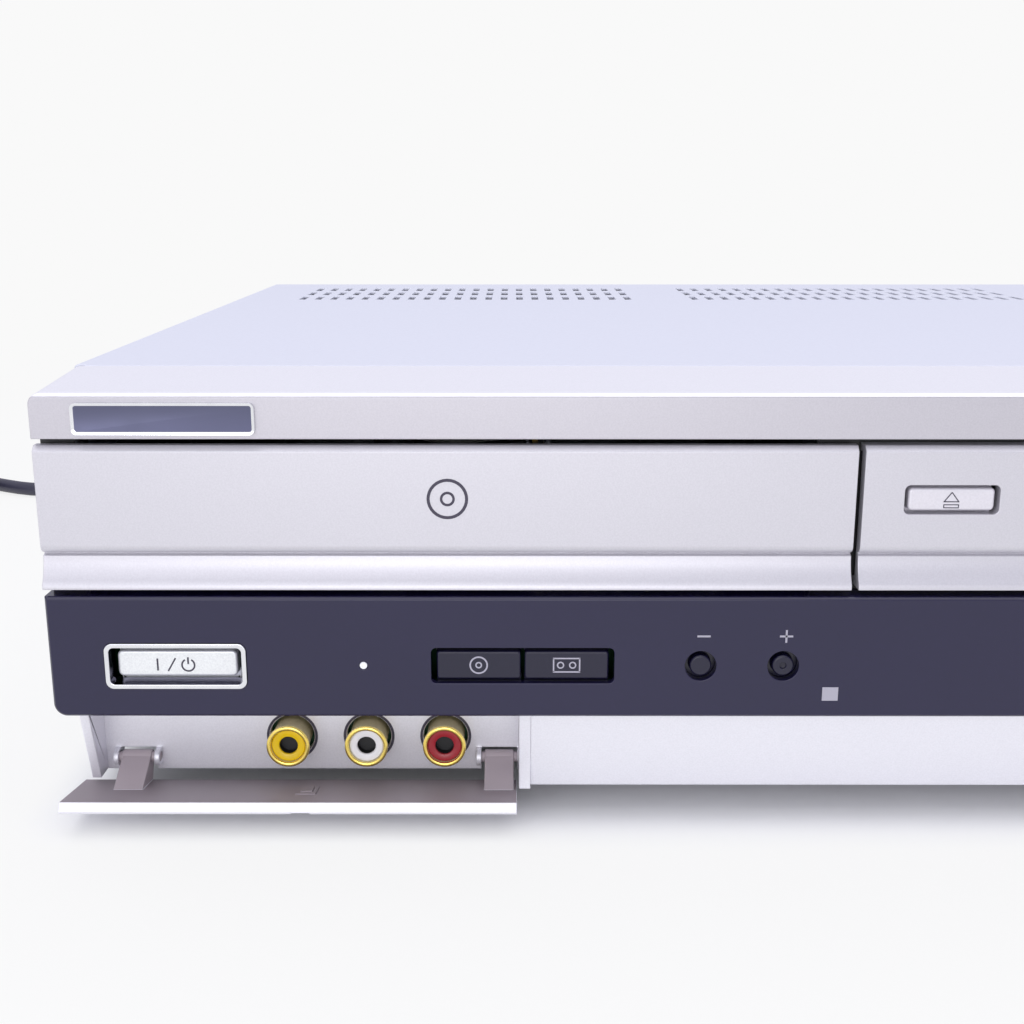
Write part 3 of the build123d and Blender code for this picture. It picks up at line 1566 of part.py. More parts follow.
os.makedirs("parts", exist_ok=True)
for name, make in pieces.items():
    export_step(make().moved(placing), "parts/" + name + ".step")
for index, name in enumerate(transport_names):
    export_step(transport_key(index).moved(placing), "parts/" + name + "_button.step")
print("pieces", len(pieces) + len(transport_names))
print("origin moved by", placing.position)
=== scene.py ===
import json
import math

import bmesh
import bpy
from mathutils import Matrix, Vector

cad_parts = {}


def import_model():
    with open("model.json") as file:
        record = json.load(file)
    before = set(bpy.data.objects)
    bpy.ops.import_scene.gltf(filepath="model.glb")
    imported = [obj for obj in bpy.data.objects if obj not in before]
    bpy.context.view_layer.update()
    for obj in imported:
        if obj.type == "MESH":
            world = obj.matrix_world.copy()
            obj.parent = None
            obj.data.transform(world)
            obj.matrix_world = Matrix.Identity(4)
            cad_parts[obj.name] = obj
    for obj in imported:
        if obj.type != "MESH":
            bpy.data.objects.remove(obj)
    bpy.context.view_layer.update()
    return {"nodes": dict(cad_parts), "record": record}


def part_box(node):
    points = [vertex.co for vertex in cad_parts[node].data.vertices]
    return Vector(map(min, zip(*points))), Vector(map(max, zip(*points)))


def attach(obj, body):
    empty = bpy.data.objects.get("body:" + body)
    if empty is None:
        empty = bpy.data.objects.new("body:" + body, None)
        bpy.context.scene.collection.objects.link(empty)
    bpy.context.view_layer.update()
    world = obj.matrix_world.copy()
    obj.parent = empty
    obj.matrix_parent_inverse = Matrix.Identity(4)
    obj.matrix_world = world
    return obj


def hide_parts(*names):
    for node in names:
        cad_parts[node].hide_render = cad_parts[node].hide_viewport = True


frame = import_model()
nodes = frame["nodes"]
bodyOf = {node: body for body, held in frame["record"]["behaviour"]["bodies"].items() for node in held}
mm = 0.001
print("frame loaded:", len(nodes), "pieces")

# Places are in millimetres: x from the cabinet's left side, y back from the dark fascia's face, z up from the table.
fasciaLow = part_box("control_fascia")[0]


def at(x, y, z):
    return Vector((fasciaLow.x + x * mm, fasciaLow.y + y * mm, z * mm))


# the camera stands where the photograph was taken from
camera = {"x": 84.5, "distance": 221.0, "height": 117.5, "pitch": 14.04, "yaw": 0.10, "lens": 45.42}


def makeCamera():
    data = bpy.data.cameras.new("camera")
    data.lens = camera["lens"]
    data.clip_start = 0.01
    holder = bpy.data.objects.new("camera", data)
    holder.location = at(camera["x"], -camera["distance"], camera["height"])
    holder.rotation_euler = (math.radians(90 - camera["pitch"]), 0, math.radians(camera["yaw"]))
    bpy.context.scene.collection.objects.link(holder)
    bpy.context.scene.camera = holder


makeCamera()
print("camera placed")


def paint(hexColour):  # an sRGB hex value as linear colour
    parts = [int(hexColour[i : i + 2], 16) / 255 for i in (1, 3, 5)]
    return tuple(c / 12.92 if c <= 0.04045 else ((c + 0.055) / 1.055) ** 2.4 for c in parts) + (1.0,)


def addNode(tree, kind, inputs=None, **settings):  # a shader node with its settings, values and links
    node = tree.nodes.new("ShaderNode" + kind)
    for name, value in settings.items():
        setattr(node, name, value)
    for name, value in (inputs or {}).items():
        if isinstance(value, bpy.types.NodeSocket):
            tree.links.new(value, node.inputs[name])
        else:
            node.inputs[name].default_value = value
    return node


def startMaterial(name, **values):  # a material with its shader's own constants set
    material = bpy.data.materials.new(name)
    material.use_nodes = True
    shader = material.node_tree.nodes["Principled BSDF"]
    for key, value in values.items():
        shader.inputs[key].default_value = value
    return material, material.node_tree, shader


def twoTone(tree, factor, low, high):  # two colours mixed by a pattern
    mix = addNode(tree, "Mix", data_type="RGBA")
    tree.links.new(factor, mix.inputs["Factor"])
    mix.inputs["A"].default_value = paint(low)
    mix.inputs["B"].default_value = paint(high)
    return mix.outputs["Result"]


def grainOf(size):  # noise scale for grains of a size in millimetres
    return 1000.0 / size


silver = {"low": "#c9c7ce", "high": "#cfcdd4", "fleck": 0.3, "peel": 2.2, "roughness": 0.36}


def silverPaint(name, low, high, roughness):  # aluminium-flake paint on moulded ABS: fine sparkle, faint orange peel
    material, tree, shader = startMaterial(name, Metallic=0.45, Roughness=roughness)
    spot = addNode(tree, "TexCoord").outputs["Object"]
    fleck = addNode(tree, "TexNoise", {"Vector": spot, "Scale": grainOf(silver["fleck"]), "Detail": 3.0})
    ramp = addNode(tree, "MapRange", {"Value": fleck.outputs["Fac"], "From Min": 0.35, "From Max": 0.65})
    tree.links.new(twoTone(tree, ramp.outputs["Result"], low, high), shader.inputs["Base Color"])
    peel = addNode(tree, "TexNoise", {"Vector": spot, "Scale": grainOf(silver["peel"]), "Detail": 1.0})
    bump = addNode(tree, "Bump", {"Height": peel.outputs["Fac"], "Strength": 0.05, "Distance": 0.02 * mm})
    fine = addNode(
        tree, "Bump",
        {"Height": fleck.outputs["Fac"], "Strength": 0.12, "Distance": 0.02 * mm, "Normal": bump.outputs["Normal"]},
    )
    tree.links.new(fine.outputs["Normal"], shader.inputs["Normal"])
    return material


cover = {"low": "#d6d8e6", "high": "#dfe1ef", "grain": 0.9, "roughness": 0.42}


def coverPaint():  # powder-textured paint on folded steel: even colour, fine raised grain
    material, tree, shader = startMaterial("satin powder coat", Metallic=0.15, Roughness=cover["roughness"])
    spot = addNode(tree, "TexCoord").outputs["Object"]
    grain = addNode(tree, "TexNoise", {"Vector": spot, "Scale": grainOf(cover["grain"]), "Detail": 4.0})
    tree.links.new(twoTone(tree, grain.outputs["Fac"], cover["low"], cover["high"]), shader.inputs["Base Color"])
    bump = addNode(tree, "Bump", {"Height": grain.outputs["Fac"], "Strength": 0.18, "Distance": 0.05 * mm})
    tree.links.new(bump.outputs["Normal"], shader.inputs["Normal"])
    return material


moulded = {"grain": 0.35, "wear": 30.0}


def mouldedPlastic(name, colour, roughness, depth):  # moulded plastic: spark-eroded grain, slight handling shine
    material, tree, shader = startMaterial(name, IOR=1.53)
    spot = addNode(tree, "TexCoord").outputs["Object"]
    grain = addNode(tree, "TexNoise", {"Vector": spot, "Scale": grainOf(moulded["grain"]), "Detail": 2.0})
    wear = addNode(tree, "TexNoise", {"Vector": spot, "Scale": grainOf(moulded["wear"]), "Detail": 5.0})
    tone = addNode(tree, "HueSaturation", {"Color": paint(colour)})
    shade = addNode(tree, "MapRange", {"Value": wear.outputs["Fac"], "To Min": 0.92, "To Max": 1.08})
    tree.links.new(shade.outputs["Result"], tone.inputs["Value"])
    tree.links.new(tone.outputs["Color"], shader.inputs["Base Color"])
    rub = addNode(
        tree, "MapRange", {"Value": wear.outputs["Fac"], "To Min": roughness * 0.85, "To Max": roughness * 1.15}
    )
    tree.links.new(rub.outputs["Result"], shader.inputs["Roughness"])
    bump = addNode(tree, "Bump", {"Height": grain.outputs["Fac"], "Strength": depth, "Distance": 0.04 * mm})
    tree.links.new(bump.outputs["Normal"], shader.inputs["Normal"])
    return material


metal = {"spangle": 9.0, "scratch": 0.6}


def zincSteel(name, low, high, roughness):  # zinc-plated sheet: faint crystal spangle, fine rolling lines
    material, tree, shader = startMaterial(name, Metallic=1.0)
    spot = addNode(tree, "TexCoord").outputs["Object"]
    spangle = addNode(tree, "TexVoronoi", {"Vector": spot, "Scale": grainOf(metal["spangle"])})
    grey = addNode(tree, "SeparateColor", {"Color": spangle.outputs["Color"]})
    tree.links.new(twoTone(tree, grey.outputs["Red"], low, high), shader.inputs["Base Color"])
    rough = addNode(
        tree, "MapRange", {"Value": grey.outputs["Green"], "To Min": roughness * 0.8, "To Max": roughness * 1.2}
    )
    tree.links.new(rough.outputs["Result"], shader.inputs["Roughness"])
    place = addNode(tree, "Mapping", {"Vector": spot, "Scale": (1.0, 0.03, 1.0)})
    lines = addNode(tree, "TexNoise", {"Vector": place.outputs["Vector"], "Scale": grainOf(metal["scratch"])})
    bump = addNode(tree, "Bump", {"Height": lines.outputs["Fac"], "Strength": 0.08, "Distance": 0.02 * mm})
    tree.links.new(bump.outputs["Normal"], shader.inputs["Normal"])
    return material


def platedMetal(name, low, high, roughness, grain=3.0):  # plated metal: slight tarnish in its colour and gloss
    material, tree, shader = startMaterial(name, Metallic=1.0)
    spot = addNode(tree, "TexCoord").outputs["Object"]
    cloud = addNode(tree, "TexNoise", {"Vector": spot, "Scale": grainOf(grain), "Detail": 4.0})
    tree.links.new(twoTone(tree, cloud.outputs["Fac"], low, high), shader.inputs["Base Color"])
    rough = addNode(
        tree, "MapRange", {"Value": cloud.outputs["Fac"], "To Min": roughness * 0.7, "To Max": roughness * 1.3}
    )
    tree.links.new(rough.outputs["Result"], shader.inputs["Roughness"])
    return material


turned = {"low": "#c3c5cb", "high": "#dcdee3", "roughness": 0.26, "ringScale": 380.0}


def turnedAluminium():  # lathe-turned aluminium: fine rings that catch the light
    material, tree, shader = startMaterial("turned aluminium", Metallic=1.0, Roughness=turned["roughness"])
    spot = addNode(tree, "TexCoord").outputs["Object"]
    given = {"Vector": spot, "Scale": turned["ringScale"], "Distortion": 0.4}
    rings = addNode(tree, "TexWave", given, bands_direction="Z")
    tree.links.new(twoTone(tree, rings.outputs["Fac"], turned["low"], turned["high"]), shader.inputs["Base Color"])
    bump = addNode(tree, "Bump", {"Height": rings.outputs["Fac"], "Strength": 0.15, "Distance": 0.02 * mm})
    tree.links.new(bump.outputs["Normal"], shader.inputs["Normal"])
    return material


masked = {"green": "#1d5a34", "deep": "#1a5030", "track": "#3b8a4e", "trackScale": 140.0}


def circuitBoard():  # solder-masked glass-epoxy board: green with paler copper tracks under the mask
    material, tree, shader = startMaterial("solder-masked board", Roughness=0.32, IOR=1.5)
    spot = addNode(tree, "TexCoord").outputs["Object"]
    tracks = addNode(
        tree, "TexBrick",
        {"Vector": spot, "Scale": masked["trackScale"], "Mortar Size": 0.012, "Color1": paint(masked["green"]),
         "Color2": paint(masked["deep"]), "Mortar": paint(masked["track"]), "Row Height": 0.18},
    )
    tree.links.new(tracks.outputs["Color"], shader.inputs["Base Color"])
    bump = addNode(tree, "Bump", {"Height": tracks.outputs["Fac"], "Strength": 0.1, "Distance": 0.03 * mm})
    tree.links.new(bump.outputs["Normal"], shader.inputs["Normal"])
    return material


cordSkin = {"low": "#2c2b3c", "high": "#383749", "roughness": 0.42, "haze": 14.0, "draw": 1.2}


def cordPvc():  # extruded soft PVC: smooth, faintly drawn along its length
    material, tree, shader = startMaterial("soft black PVC", IOR=1.54, Roughness=cordSkin["roughness"])
    spot = addNode(tree, "TexCoord").outputs["Object"]
    haze = addNode(tree, "TexNoise", {"Vector": spot, "Scale": grainOf(cordSkin["haze"]), "Detail": 4.0})
    tree.links.new(twoTone(tree, haze.outputs["Fac"], cordSkin["low"], cordSkin["high"]), shader.inputs["Base Color"])
    fine = addNode(tree, "TexNoise", {"Vector": spot, "Scale": grainOf(cordSkin["draw"]), "Detail": 2.0})
    bump = addNode(tree, "Bump", {"Height": fine.outputs["Fac"], "Strength": 0.12, "Distance": 0.05 * mm})
    tree.links.new(bump.outputs["Normal"], shader.inputs["Normal"])
    return material


smoked = {"low": "#0f0d1b", "high": "#151326", "roughness": 0.06, "haze": 40.0}


def smokedWindow():  # smoked acrylic over the display: dark, very smooth
    material, tree, shader = startMaterial("smoked acrylic", IOR=1.49, Roughness=smoked["roughness"])
    spot = addNode(tree, "TexCoord").outputs["Object"]
    haze = addNode(tree, "TexNoise", {"Vector": spot, "Scale": grainOf(smoked["haze"]), "Detail": 2.0})
    tree.links.new(twoTone(tree, haze.outputs["Fac"], smoked["low"], smoked["high"]), shader.inputs["Base Color"])
    return material


finishes = {
    "silver": silverPaint("aluminium-flake paint", silver["low"], silver["high"], silver["roughness"]),
    # painted light: a paler copy of the silver paint, for the lower front, the flap and the bezel's top
    "pale silver": silverPaint("aluminium-flake paint, lower front", "#e9e8ef", "#efeef5", 0.4),
    # painted shade: a darker copy of the silver paint, for the front panel's bezel
    "bezel silver": silverPaint("aluminium-flake paint, bezel, painted darker for shade", "#bdbac1", "#c3c0c7", 0.38),
    # painted light: a lighter copy of the silver paint, for the eject keys
    "eject silver": silverPaint("aluminium-flake paint, eject keys", "#d8d5dc", "#dedbe2", 0.38),
    "key silver": silverPaint("bright key paint", "#e6e8ea", "#f2f4f5", 0.3),
    "cover": coverPaint(),
    "rear": mouldedPlastic("textured dark grey paint", "#3a3a40", 0.55, 0.3),
    "fascia": mouldedPlastic("gloss violet-black ABS", "#1d1a3b", 0.17, 0.02),
    "dark key": mouldedPlastic("satin violet-black ABS", "#13112c", 0.26, 0.05),
    "inner grey": mouldedPlastic("unpainted warm grey ABS", "#94898f", 0.5, 0.2),
    "black plastic": mouldedPlastic("black glass-filled ABS", "#18181b", 0.5, 0.3),
    "white plastic": mouldedPlastic("white acetal", "#e6e4de", 0.35, 0.1),
    "lens": mouldedPlastic("milky acrylic", "#f4f4fa", 0.2, 0.02),
    "print": mouldedPlastic("pale grey ink", "#a9a6b4", 0.5, 0.1),
    "dark print": mouldedPlastic("violet-black ink", "#3b3648", 0.5, 0.1),
    "yellow": mouldedPlastic("yellow polypropylene", "#f0c800", 0.3, 0.05),
    "white": mouldedPlastic("white polypropylene", "#f4f2f4", 0.3, 0.05),
    "red": mouldedPlastic("red polypropylene", "#a3222e", 0.3, 0.05),
    "rubber": mouldedPlastic("moulded rubber", "#1b1b1e", 0.75, 0.4),
    "chrome": platedMetal("bright chromium plating", "#dfe0e6", "#f2f3f6", 0.12),
    "gold": platedMetal("flash gold plating", "#efcf5e", "#fae48a", 0.2, 2.0),
    "nickel": platedMetal("bright nickel plating", "#b9b4a8", "#d8d4c8", 0.18, 2.0),
    "zinc": zincSteel("zinc-plated sheet", "#a4a6ab", "#c2c4c9", 0.36),
    "screw": zincSteel("black oxide screw steel", "#4d4d52", "#5b5b61", 0.34),
    "motor": zincSteel("drawn motor can", "#b2b3b8", "#c6c7cc", 0.28),
    "aluminium": turnedAluminium(),
    "board": circuitBoard(),
    "chip": mouldedPlastic("epoxy chip moulding", "#19191b", 0.55, 0.3),
    "sleeve": mouldedPlastic("shrink sleeve", "#22304f", 0.35, 0.05),
    "tape": mouldedPlastic("yellow polyester tape", "#c9a431", 0.3, 0.1),
    "badge field": platedMetal("satin blue-grey anodising", "#62637c", "#6e7088", 0.5, 6.0),
    # painted light: a lighter copy of the bare warm grey, for the flap's arms
    "arm grey painted lighter": mouldedPlastic("warm grey ABS, painted lighter for light", "#b4a8ae", 0.45, 0.2),
    # partly real, partly painted light: the barrels are duller plating than the lips, and painted lighter for light
    # from the front
    "dull gold painted lighter": silverPaint("dull gold plating, painted lighter for light", "#d9cc9f", "#e3d7ad", 0.4),
    "dark chrome": platedMetal("bright chromium plating in shade", "#77758a", "#858398", 0.15),
    "cord": cordPvc(),
    "window": smokedWindow(),
}
print("materials made:", len(finishes))


cabinet = at(0, 0, 0)
backward = Vector((0, 1, 0))


def placeOf(point):  # back from the frame to cabinet millimetres
    return (point - cabinet) / mm


softening = {"segments": 3, "sharpAngle": 38.0, "flatAngle": 0.6, "shadeAngle": 35.0}


def makePiece(name, bm, body, looks, replaced=(), recalc=True):  # a finished object from a bmesh
    bmesh.ops.remove_doubles(bm, verts=bm.verts, dist=0.0005 * mm)
    if recalc:
        bmesh.ops.recalc_face_normals(bm, faces=bm.faces)
    mesh = bpy.data.meshes.new(name)
    bm.to_mesh(mesh)
    bm.free()
    for look in looks:
        mesh.materials.append(finishes[look])
    for face in mesh.polygons:
        face.use_smooth = True
    mesh.set_sharp_from_angle(angle=math.radians(softening["shadeAngle"]))
    piece = bpy.data.objects.new(name, mesh)
    bpy.context.scene.collection.objects.link(piece)
    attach(piece, body)
    if replaced:
        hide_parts(*replaced)
    return piece


def softCopy(node, looks, edge, pick=None):  # a CAD piece in its own shape, its edges rounded as made
    bm = bmesh.new()
    bm.from_mesh(nodes[node].data)
    bmesh.ops.remove_doubles(bm, verts=bm.verts, dist=0.001 * mm)
    flat = math.radians(softening["flatAngle"])
    bmesh.ops.dissolve_limit(bm, angle_limit=flat, verts=bm.verts, edges=bm.edges)
    limit = math.radians(softening["sharpAngle"])
    if edge:
        crisp = [e for e in bm.edges if len(e.link_faces) == 2 and e.calc_face_angle(0.0) > limit]
        bmesh.ops.bevel(
            bm, geom=crisp, offset=edge * mm, segments=softening["segments"], profile=0.5, affect="EDGES",
            clamp_overlap=False, material=-1,
        )
    if pick:
        for face in bm.faces:
            face.material_index = pick(placeOf(face.calc_center_median()), face.normal)
    piece = makePiece(node + "_dressed", bm, bodyOf[node], looks, (node,), recalc=False)
    normals = piece.modifiers.new("even shading", "WEIGHTED_NORMAL")
    normals.keep_sharp = True
    return piece


def dress(pieces):  # several CAD pieces, each with its looks, edge in millimetres and choice of look by face
    for node, given in pieces.items():
        softCopy(node, *given)


def addBox(bm, x0, x1, y0, y1, z0, z1):
    made = bmesh.ops.create_cube(bm, size=1.0)["verts"]
    bmesh.ops.scale(bm, vec=Vector((x1 - x0, y1 - y0, z1 - z0)) * mm, verts=made)
    bmesh.ops.translate(bm, vec=at((x0 + x1) / 2, (y0 + y1) / 2, (z0 + z1) / 2), verts=made)
    return made


def turn(bm, profile, base, axis, steps=48, closed=False):  # a profile of (radius, distance along) spun about an axis
    side = axis.orthogonal().normalized()
    ring = [bm.verts.new(base + (side * radius + axis * along) * mm) for radius, along in profile]
    pairs = list(zip(ring[:-1], ring[1:]))
    if closed:
        pairs.append((ring[-1], ring[0]))
    edges = [bm.edges.new(pair) for pair in pairs]
    bmesh.ops.spin(
        bm, geom=ring + edges, cent=base, axis=axis, angle=2 * math.pi, steps=steps, use_merge=True
    )


# the lead's route and coil, on the table behind the left rear corner
cord = {
    "diameter": 5.2, "rise": 2.65, "turnSteps": 24,
    "coilX": -163.0, "coilY": 270.0, "radius": 34.5, "pitch": 5.9, "turns": 3.0, "startAngle": 53.13,
    "endTurns": 6.375, "leadIn": 20, "leadOut": 18, "length": 1.385,
    "out": [
        (35, 261.4, 22), (35, 277.4, 22), (28, 295, 11.5), (6, 307, 3.25), (-22, 305, 2.65), (-50, 292, 2.65),
        (-77, 277.5, 2.65), (-102, 272.4, 2.65),
    ],
    "toPlug": [(-188, 221, 4.4), (-186, 199, 2.65), (-188.5, 177, 6.9), (-193, 157, 6.9)],
}


def coilSpot(turns):  # a point of the coil: three turns inwards, up one layer, and out again
    angle = math.radians(cord["startAngle"]) + 2 * math.pi * turns
    radius = cord["radius"] - cord["pitch"] * min(turns, 2 * cord["turns"] - turns)
    climb = min(1.0, max(0.0, (turns - cord["turns"] + 0.25) / 0.5))
    z = cord["rise"] + cord["pitch"] * climb * climb * (3 - 2 * climb)
    return Vector((cord["coilX"] + radius * math.cos(angle), cord["coilY"] + radius * math.sin(angle), z))


def coilHeading(turns):
    return (coilSpot(turns + 0.002) - coilSpot(turns - 0.002)).normalized()


def cordPoints():
    start = coilSpot(0) - coilHeading(0) * cord["diameter"]
    leaving = coilHeading(cord["endTurns"])
    end = coilSpot(cord["endTurns"]) + leaving * cord["diameter"]
    points = [Vector(point) for point in cord["out"]]
    points += [start - coilHeading(0) * cord["leadIn"], start]
    steps = int(cord["endTurns"] * cord["turnSteps"])
    points += [coilSpot(step / cord["turnSteps"]) for step in range(steps + 1)]
    points += [end, end + leaving * cord["leadOut"]]
    return points + [Vector(point) for point in cord["toPlug"]]


def makeCord():
    curve = bpy.data.curves.new("mains_lead", "CURVE")
    curve.dimensions = "3D"
    curve.bevel_depth = cord["diameter"] / 2 * mm
    curve.bevel_resolution = 6
    curve.resolution_u = 4
    curve.use_fill_caps = True
    points = cordPoints()
    spline = curve.splines.new("NURBS")
    spline.points.add(len(points) - 1)
    for knot, point in zip(spline.points, points):
        knot.co = (*at(*point), 1.0)
    spline.order_u = 3
    spline.use_endpoint_u = True
    curve.materials.append(finishes["cord"])
    lead = bpy.data.objects.new("mains_lead", curve)
    bpy.context.scene.collection.objects.link(lead)
    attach(lead, "root")
    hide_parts("power_cord", "cord_coil")
    return lead


lead = makeCord()

gland = {
    "x": 35.0, "z": 22.0, "face": 241.4, "end": 261.4, "radius": 5.0, "taper": 1.4, "tip": 3.6,
    "ribs": 7, "firstRib": 1.6, "ribPitch": 2.4, "groove": 0.7,
}


def makeGland():  # the moulded strain relief: collar from the CAD, sleeve cut into rings as a real one is moulded to flex
    bm = bmesh.new()
    bm.from_mesh(nodes["cord_gland"].data)
    bmesh.ops.remove_doubles(bm, verts=bm.verts, dist=0.001 * mm)
    cut = at(0, gland["face"] + 0.4, 0)
    geometry = bm.verts[:] + bm.edges[:] + bm.faces[:]
    bmesh.ops.bisect_plane(bm, geom=geometry, plane_co=cut, plane_no=backward, clear_outer=True)
    bmesh.ops.holes_fill(bm, edges=[e for e in bm.edges if e.is_boundary])
    long = gland["end"] - gland["face"]
    profile = [(0.0, 0.0), (gland["radius"], 0.0)]
    for rib in range(gland["ribs"]):
        start = gland["firstRib"] + rib * gland["ribPitch"]
        radius = gland["radius"] - gland["taper"] * start / long
        waist = radius - gland["groove"]
        profile += [(radius, start), (waist, start + 0.2), (waist, start + 0.9), (radius - 0.05, start + 1.1)]
    profile += [(gland["tip"], long - 0.4), (gland["tip"] - 0.3, long), (0.0, long)]
    turn(bm, profile, at(gland["x"], gland["face"], gland["z"]), backward)
    return makePiece("strain_relief", bm, "root", ["cord"], ("cord_gland",))


relief = makeGland()
plugPieces = [softCopy("plug_body", ["cord"], 0.8), softCopy("plug_blades", ["nickel"], 0.12)]
print("cord, strain relief and plug made")


frontPanel = {"lowerTop": 23.5, "bezelLow": 75.4, "bezelTop": 75.0, "behind": 5.0}


def frontLook(place, normal):  # painted shade: the walls behind the bands are black where only shade falls; painted light: the lower front and the bezel's top take a paler copy of the silver
    lower = frontPanel["lowerTop"]
    if place.y > frontPanel["behind"] and lower < place.z < frontPanel["bezelLow"] and normal.y < -0.5:
        return 2
    return 1 if place.z < lower or place.z > frontPanel["bezelTop"] and normal.z > 0.7 else 0


casing = {
    "top_cover": (["cover"], 0.18),
    "rear_panel": (["rear"], 0.12),
    "bottom_chassis": (["zinc"], 0.0),
    "feet": (["rubber"], 0.4),
    "front_panel": (["bezel silver", "pale silver", "black plastic"], 0.16, frontLook),
    "tray_lid": (["silver"], 0.14),
    "disc_eject_panel": (["silver"], 0.14),
    "tape_eject_panel": (["silver"], 0.14),
    "cassette_door": (["silver"], 0.14),
    "control_fascia": (["fascia"], 0.14),
}
dress(casing)
print("casing made")


darkKeys = [
    "select_disc_button", "select_tape_button", "channel_down_button", "channel_up_button", "rewind_button",
    "play_button", "fast_forward_button", "stop_button", "record_button",
]


powerFrame = {"x": 22.97, "z": 33.3, "halfWide": 12.3, "halfHigh": 3.8}


def frameLook(place, normal):  # painted shade: the frame's inner walls take a darker chrome, standing for the shade and the dark gap they reflect round the key
    level = abs(place.z - powerFrame["z"]) < powerFrame["halfHigh"]
    within = level and abs(place.x - powerFrame["x"]) < powerFrame["halfWide"]
    return 1 if within and normal.y > -0.5 else 0


controls = {
    "power_button_frame": (["chrome", "dark chrome"], 0.16, frameLook),
    "power_button": (["key silver"], 0.2),
    "disc_eject_button": (["eject silver"], 0.15),
    "tape_eject_button": (["eject silver"], 0.15),
    **{key: (["dark key"], 0.12) for key in darkKeys},
    "display_window": (["window"], 0.12),
    "led_lens": (["lens"], 0.1),
}
dress(controls)
print("controls made")


# flap over the front sockets; its face, pads and lip are given with the flap shut
flap = {
    "pinY": 13.2, "pinZ": 9.5, "angle": 63.2, "thick": 2.3, "slope": 0.303, "faceY": 2.0, "faceZ": 23.0, "topZ": 22.9,
    "pads": ((43.3, 47.1, 13.4, 18.2, 0.3), (44.1, 46.3, 14.2, 17.4, 0.55)),  # x0, x1, z0, z1 and how far it stands up
    "lipX": (43.28, 46.72), "lipHigh": 1.2, "lipDeep": 1.35, "lipSlant": 0.5,
}
flapPin = Vector((0, flap["pinY"], flap["pinZ"]))


def flapDepth(point):  # how far behind the flap's outer face a point of the shut flap lies
    return point.y - flap["faceY"] - (flap["faceZ"] - point.z) * flap["slope"]


def flapLook(place, normal):  # silver outside in a paler copy as painted light, bare plastic inside, the arms a paler grey as painted light; as seen with the flap shut
    shut = Matrix.Rotation(math.radians(-flap["angle"]), 3, "X")
    depth = flapDepth(shut @ (place - flapPin) + flapPin)
    if depth > flap["thick"] + 0.25:
        return 2
    return 1 if depth > flap["thick"] - 0.25 and (shut @ normal).y > 0.7 else 0


def flapTrim():  # the latch's raised pad inside the flap, and the lip made whole over it
    bm = bmesh.new()
    inner = flap["faceY"] + flap["thick"] - 0.05
    for x0, x1, z0, z1, rise in flap["pads"]:
        made = addBox(bm, x0, x1, inner, inner + rise, z0, z1)
        for corner in made:
            corner.co.y += (flap["faceZ"] - placeOf(corner.co).z) * flap["slope"] * mm
    top = flap["topZ"] - 0.02
    filled = addBox(bm, *flap["lipX"], 0.0, flap["lipDeep"], top - flap["lipHigh"], top)
    for corner in filled:
        local = placeOf(corner.co)
        face = flap["faceY"] + (flap["faceZ"] - local.z) * flap["slope"]
        slant = flap["lipSlant"] if local.z > top - flap["lipHigh"] / 2 and local.y < flap["lipDeep"] / 2 else 0.0
        corner.co.y = at(0, face + slant + local.y, 0).y
    opened = Matrix.Rotation(math.radians(flap["angle"]), 4, "X")
    bmesh.ops.rotate(bm, cent=at(*flapPin), matrix=opened, verts=bm.verts)
    for face in bm.faces:
        # painted light: the lip takes the paler copy of the silver paint
        face.material_index = 1 if len(face.verts) == 4 and face.verts[0] in filled else 0
    makePiece("flap_latch", bm, "av_flap", ["inner grey", "pale silver"])


softCopy("av_flap", ["pale silver", "inner grey", "arm grey painted lighter"], 0.14, flapLook)
flapTrim()
print("flap made")


jacks = {
    "x": 41.05, "pitch": 15.03, "z": 13.5, "panel": 14.0, "tip": 8.6, "lip": 4.15, "shell": 3.65, "bore": 3.3,
    "hole": 1.75, "shellLong": 8.7, "insertLong": 9.3, "ringRadius": 4.75, "ringLine": 0.5,
}
rearSockets = {"x": 151, "pitchX": 14, "z": 32, "pitchZ": 18, "shellLong": 7.7, "insertLong": 7.5}


def socketShell(bm, base, axis, reach):  # a rolled lip, a neck and the shell's wall, from the tip inwards
    lip = jacks["lip"]
    shell = jacks["shell"]
    bore = jacks["bore"]
    profile = [
        (bore, reach), (bore, 0.35), (bore + 0.12, 0.08), (bore + 0.4, 0.0), (lip - 0.25, 0.0), (lip - 0.05, 0.12),
        (lip, 0.4), (lip, 0.75), (lip - 0.1, 0.98), (shell + 0.05, 1.15), (shell, 1.4), (shell, reach),
    ]
    before = set(bm.faces)
    turn(bm, profile, base, axis, closed=True)
    for face in bm.faces:
        # partly painted light: on the front sockets, faces deeper than 1.2 mm take the duller gold painted lighter
        if face not in before and (face.calc_center_median() - base).dot(axis) > 1.2 * mm:
            face.material_index = 1


def socketInsert(bm, base, axis, depth):  # the coloured ring, domed towards its hole, with the sprung contact inside
    bore = jacks["bore"] - 0.05
    hole = jacks["hole"]
    profile = [
        (bore, depth), (bore, 0.9), (bore - 0.2, 0.72), (hole + 0.35, 0.7), (hole + 0.08, 0.85), (hole, 1.15),
        (hole, depth),
    ]
    before = set(bm.faces)
    turn(bm, profile, base, axis, closed=True)
    turn(bm, [(0.0, 2.6), (hole + 0.1, 2.6), (hole + 0.1, 3.0), (0.0, 3.0)], base, axis, 24)
    for face in bm.faces:
        # painted shade: faces deeper than 1.25 mm, the hole's walls and the contact, are black for the shade in the
        # hole
        if face not in before and (face.calc_center_median() - base).dot(axis) > 1.25 * mm:
            face.material_index = 1


def frontJacks():
    return [at(jacks["x"] + index * jacks["pitch"], jacks["tip"], jacks["z"]) for index in range(3)]


def rearJacks():
    tip = placeOf(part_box("phono_shells")[1]).y
    columns = [rearSockets["x"] + column * rearSockets["pitchX"] for column in range(3)]
    rows = [rearSockets["z"] + row * rearSockets["pitchZ"] for row in range(2)]
    return [[at(x, tip, z) for z in rows] for x in columns]


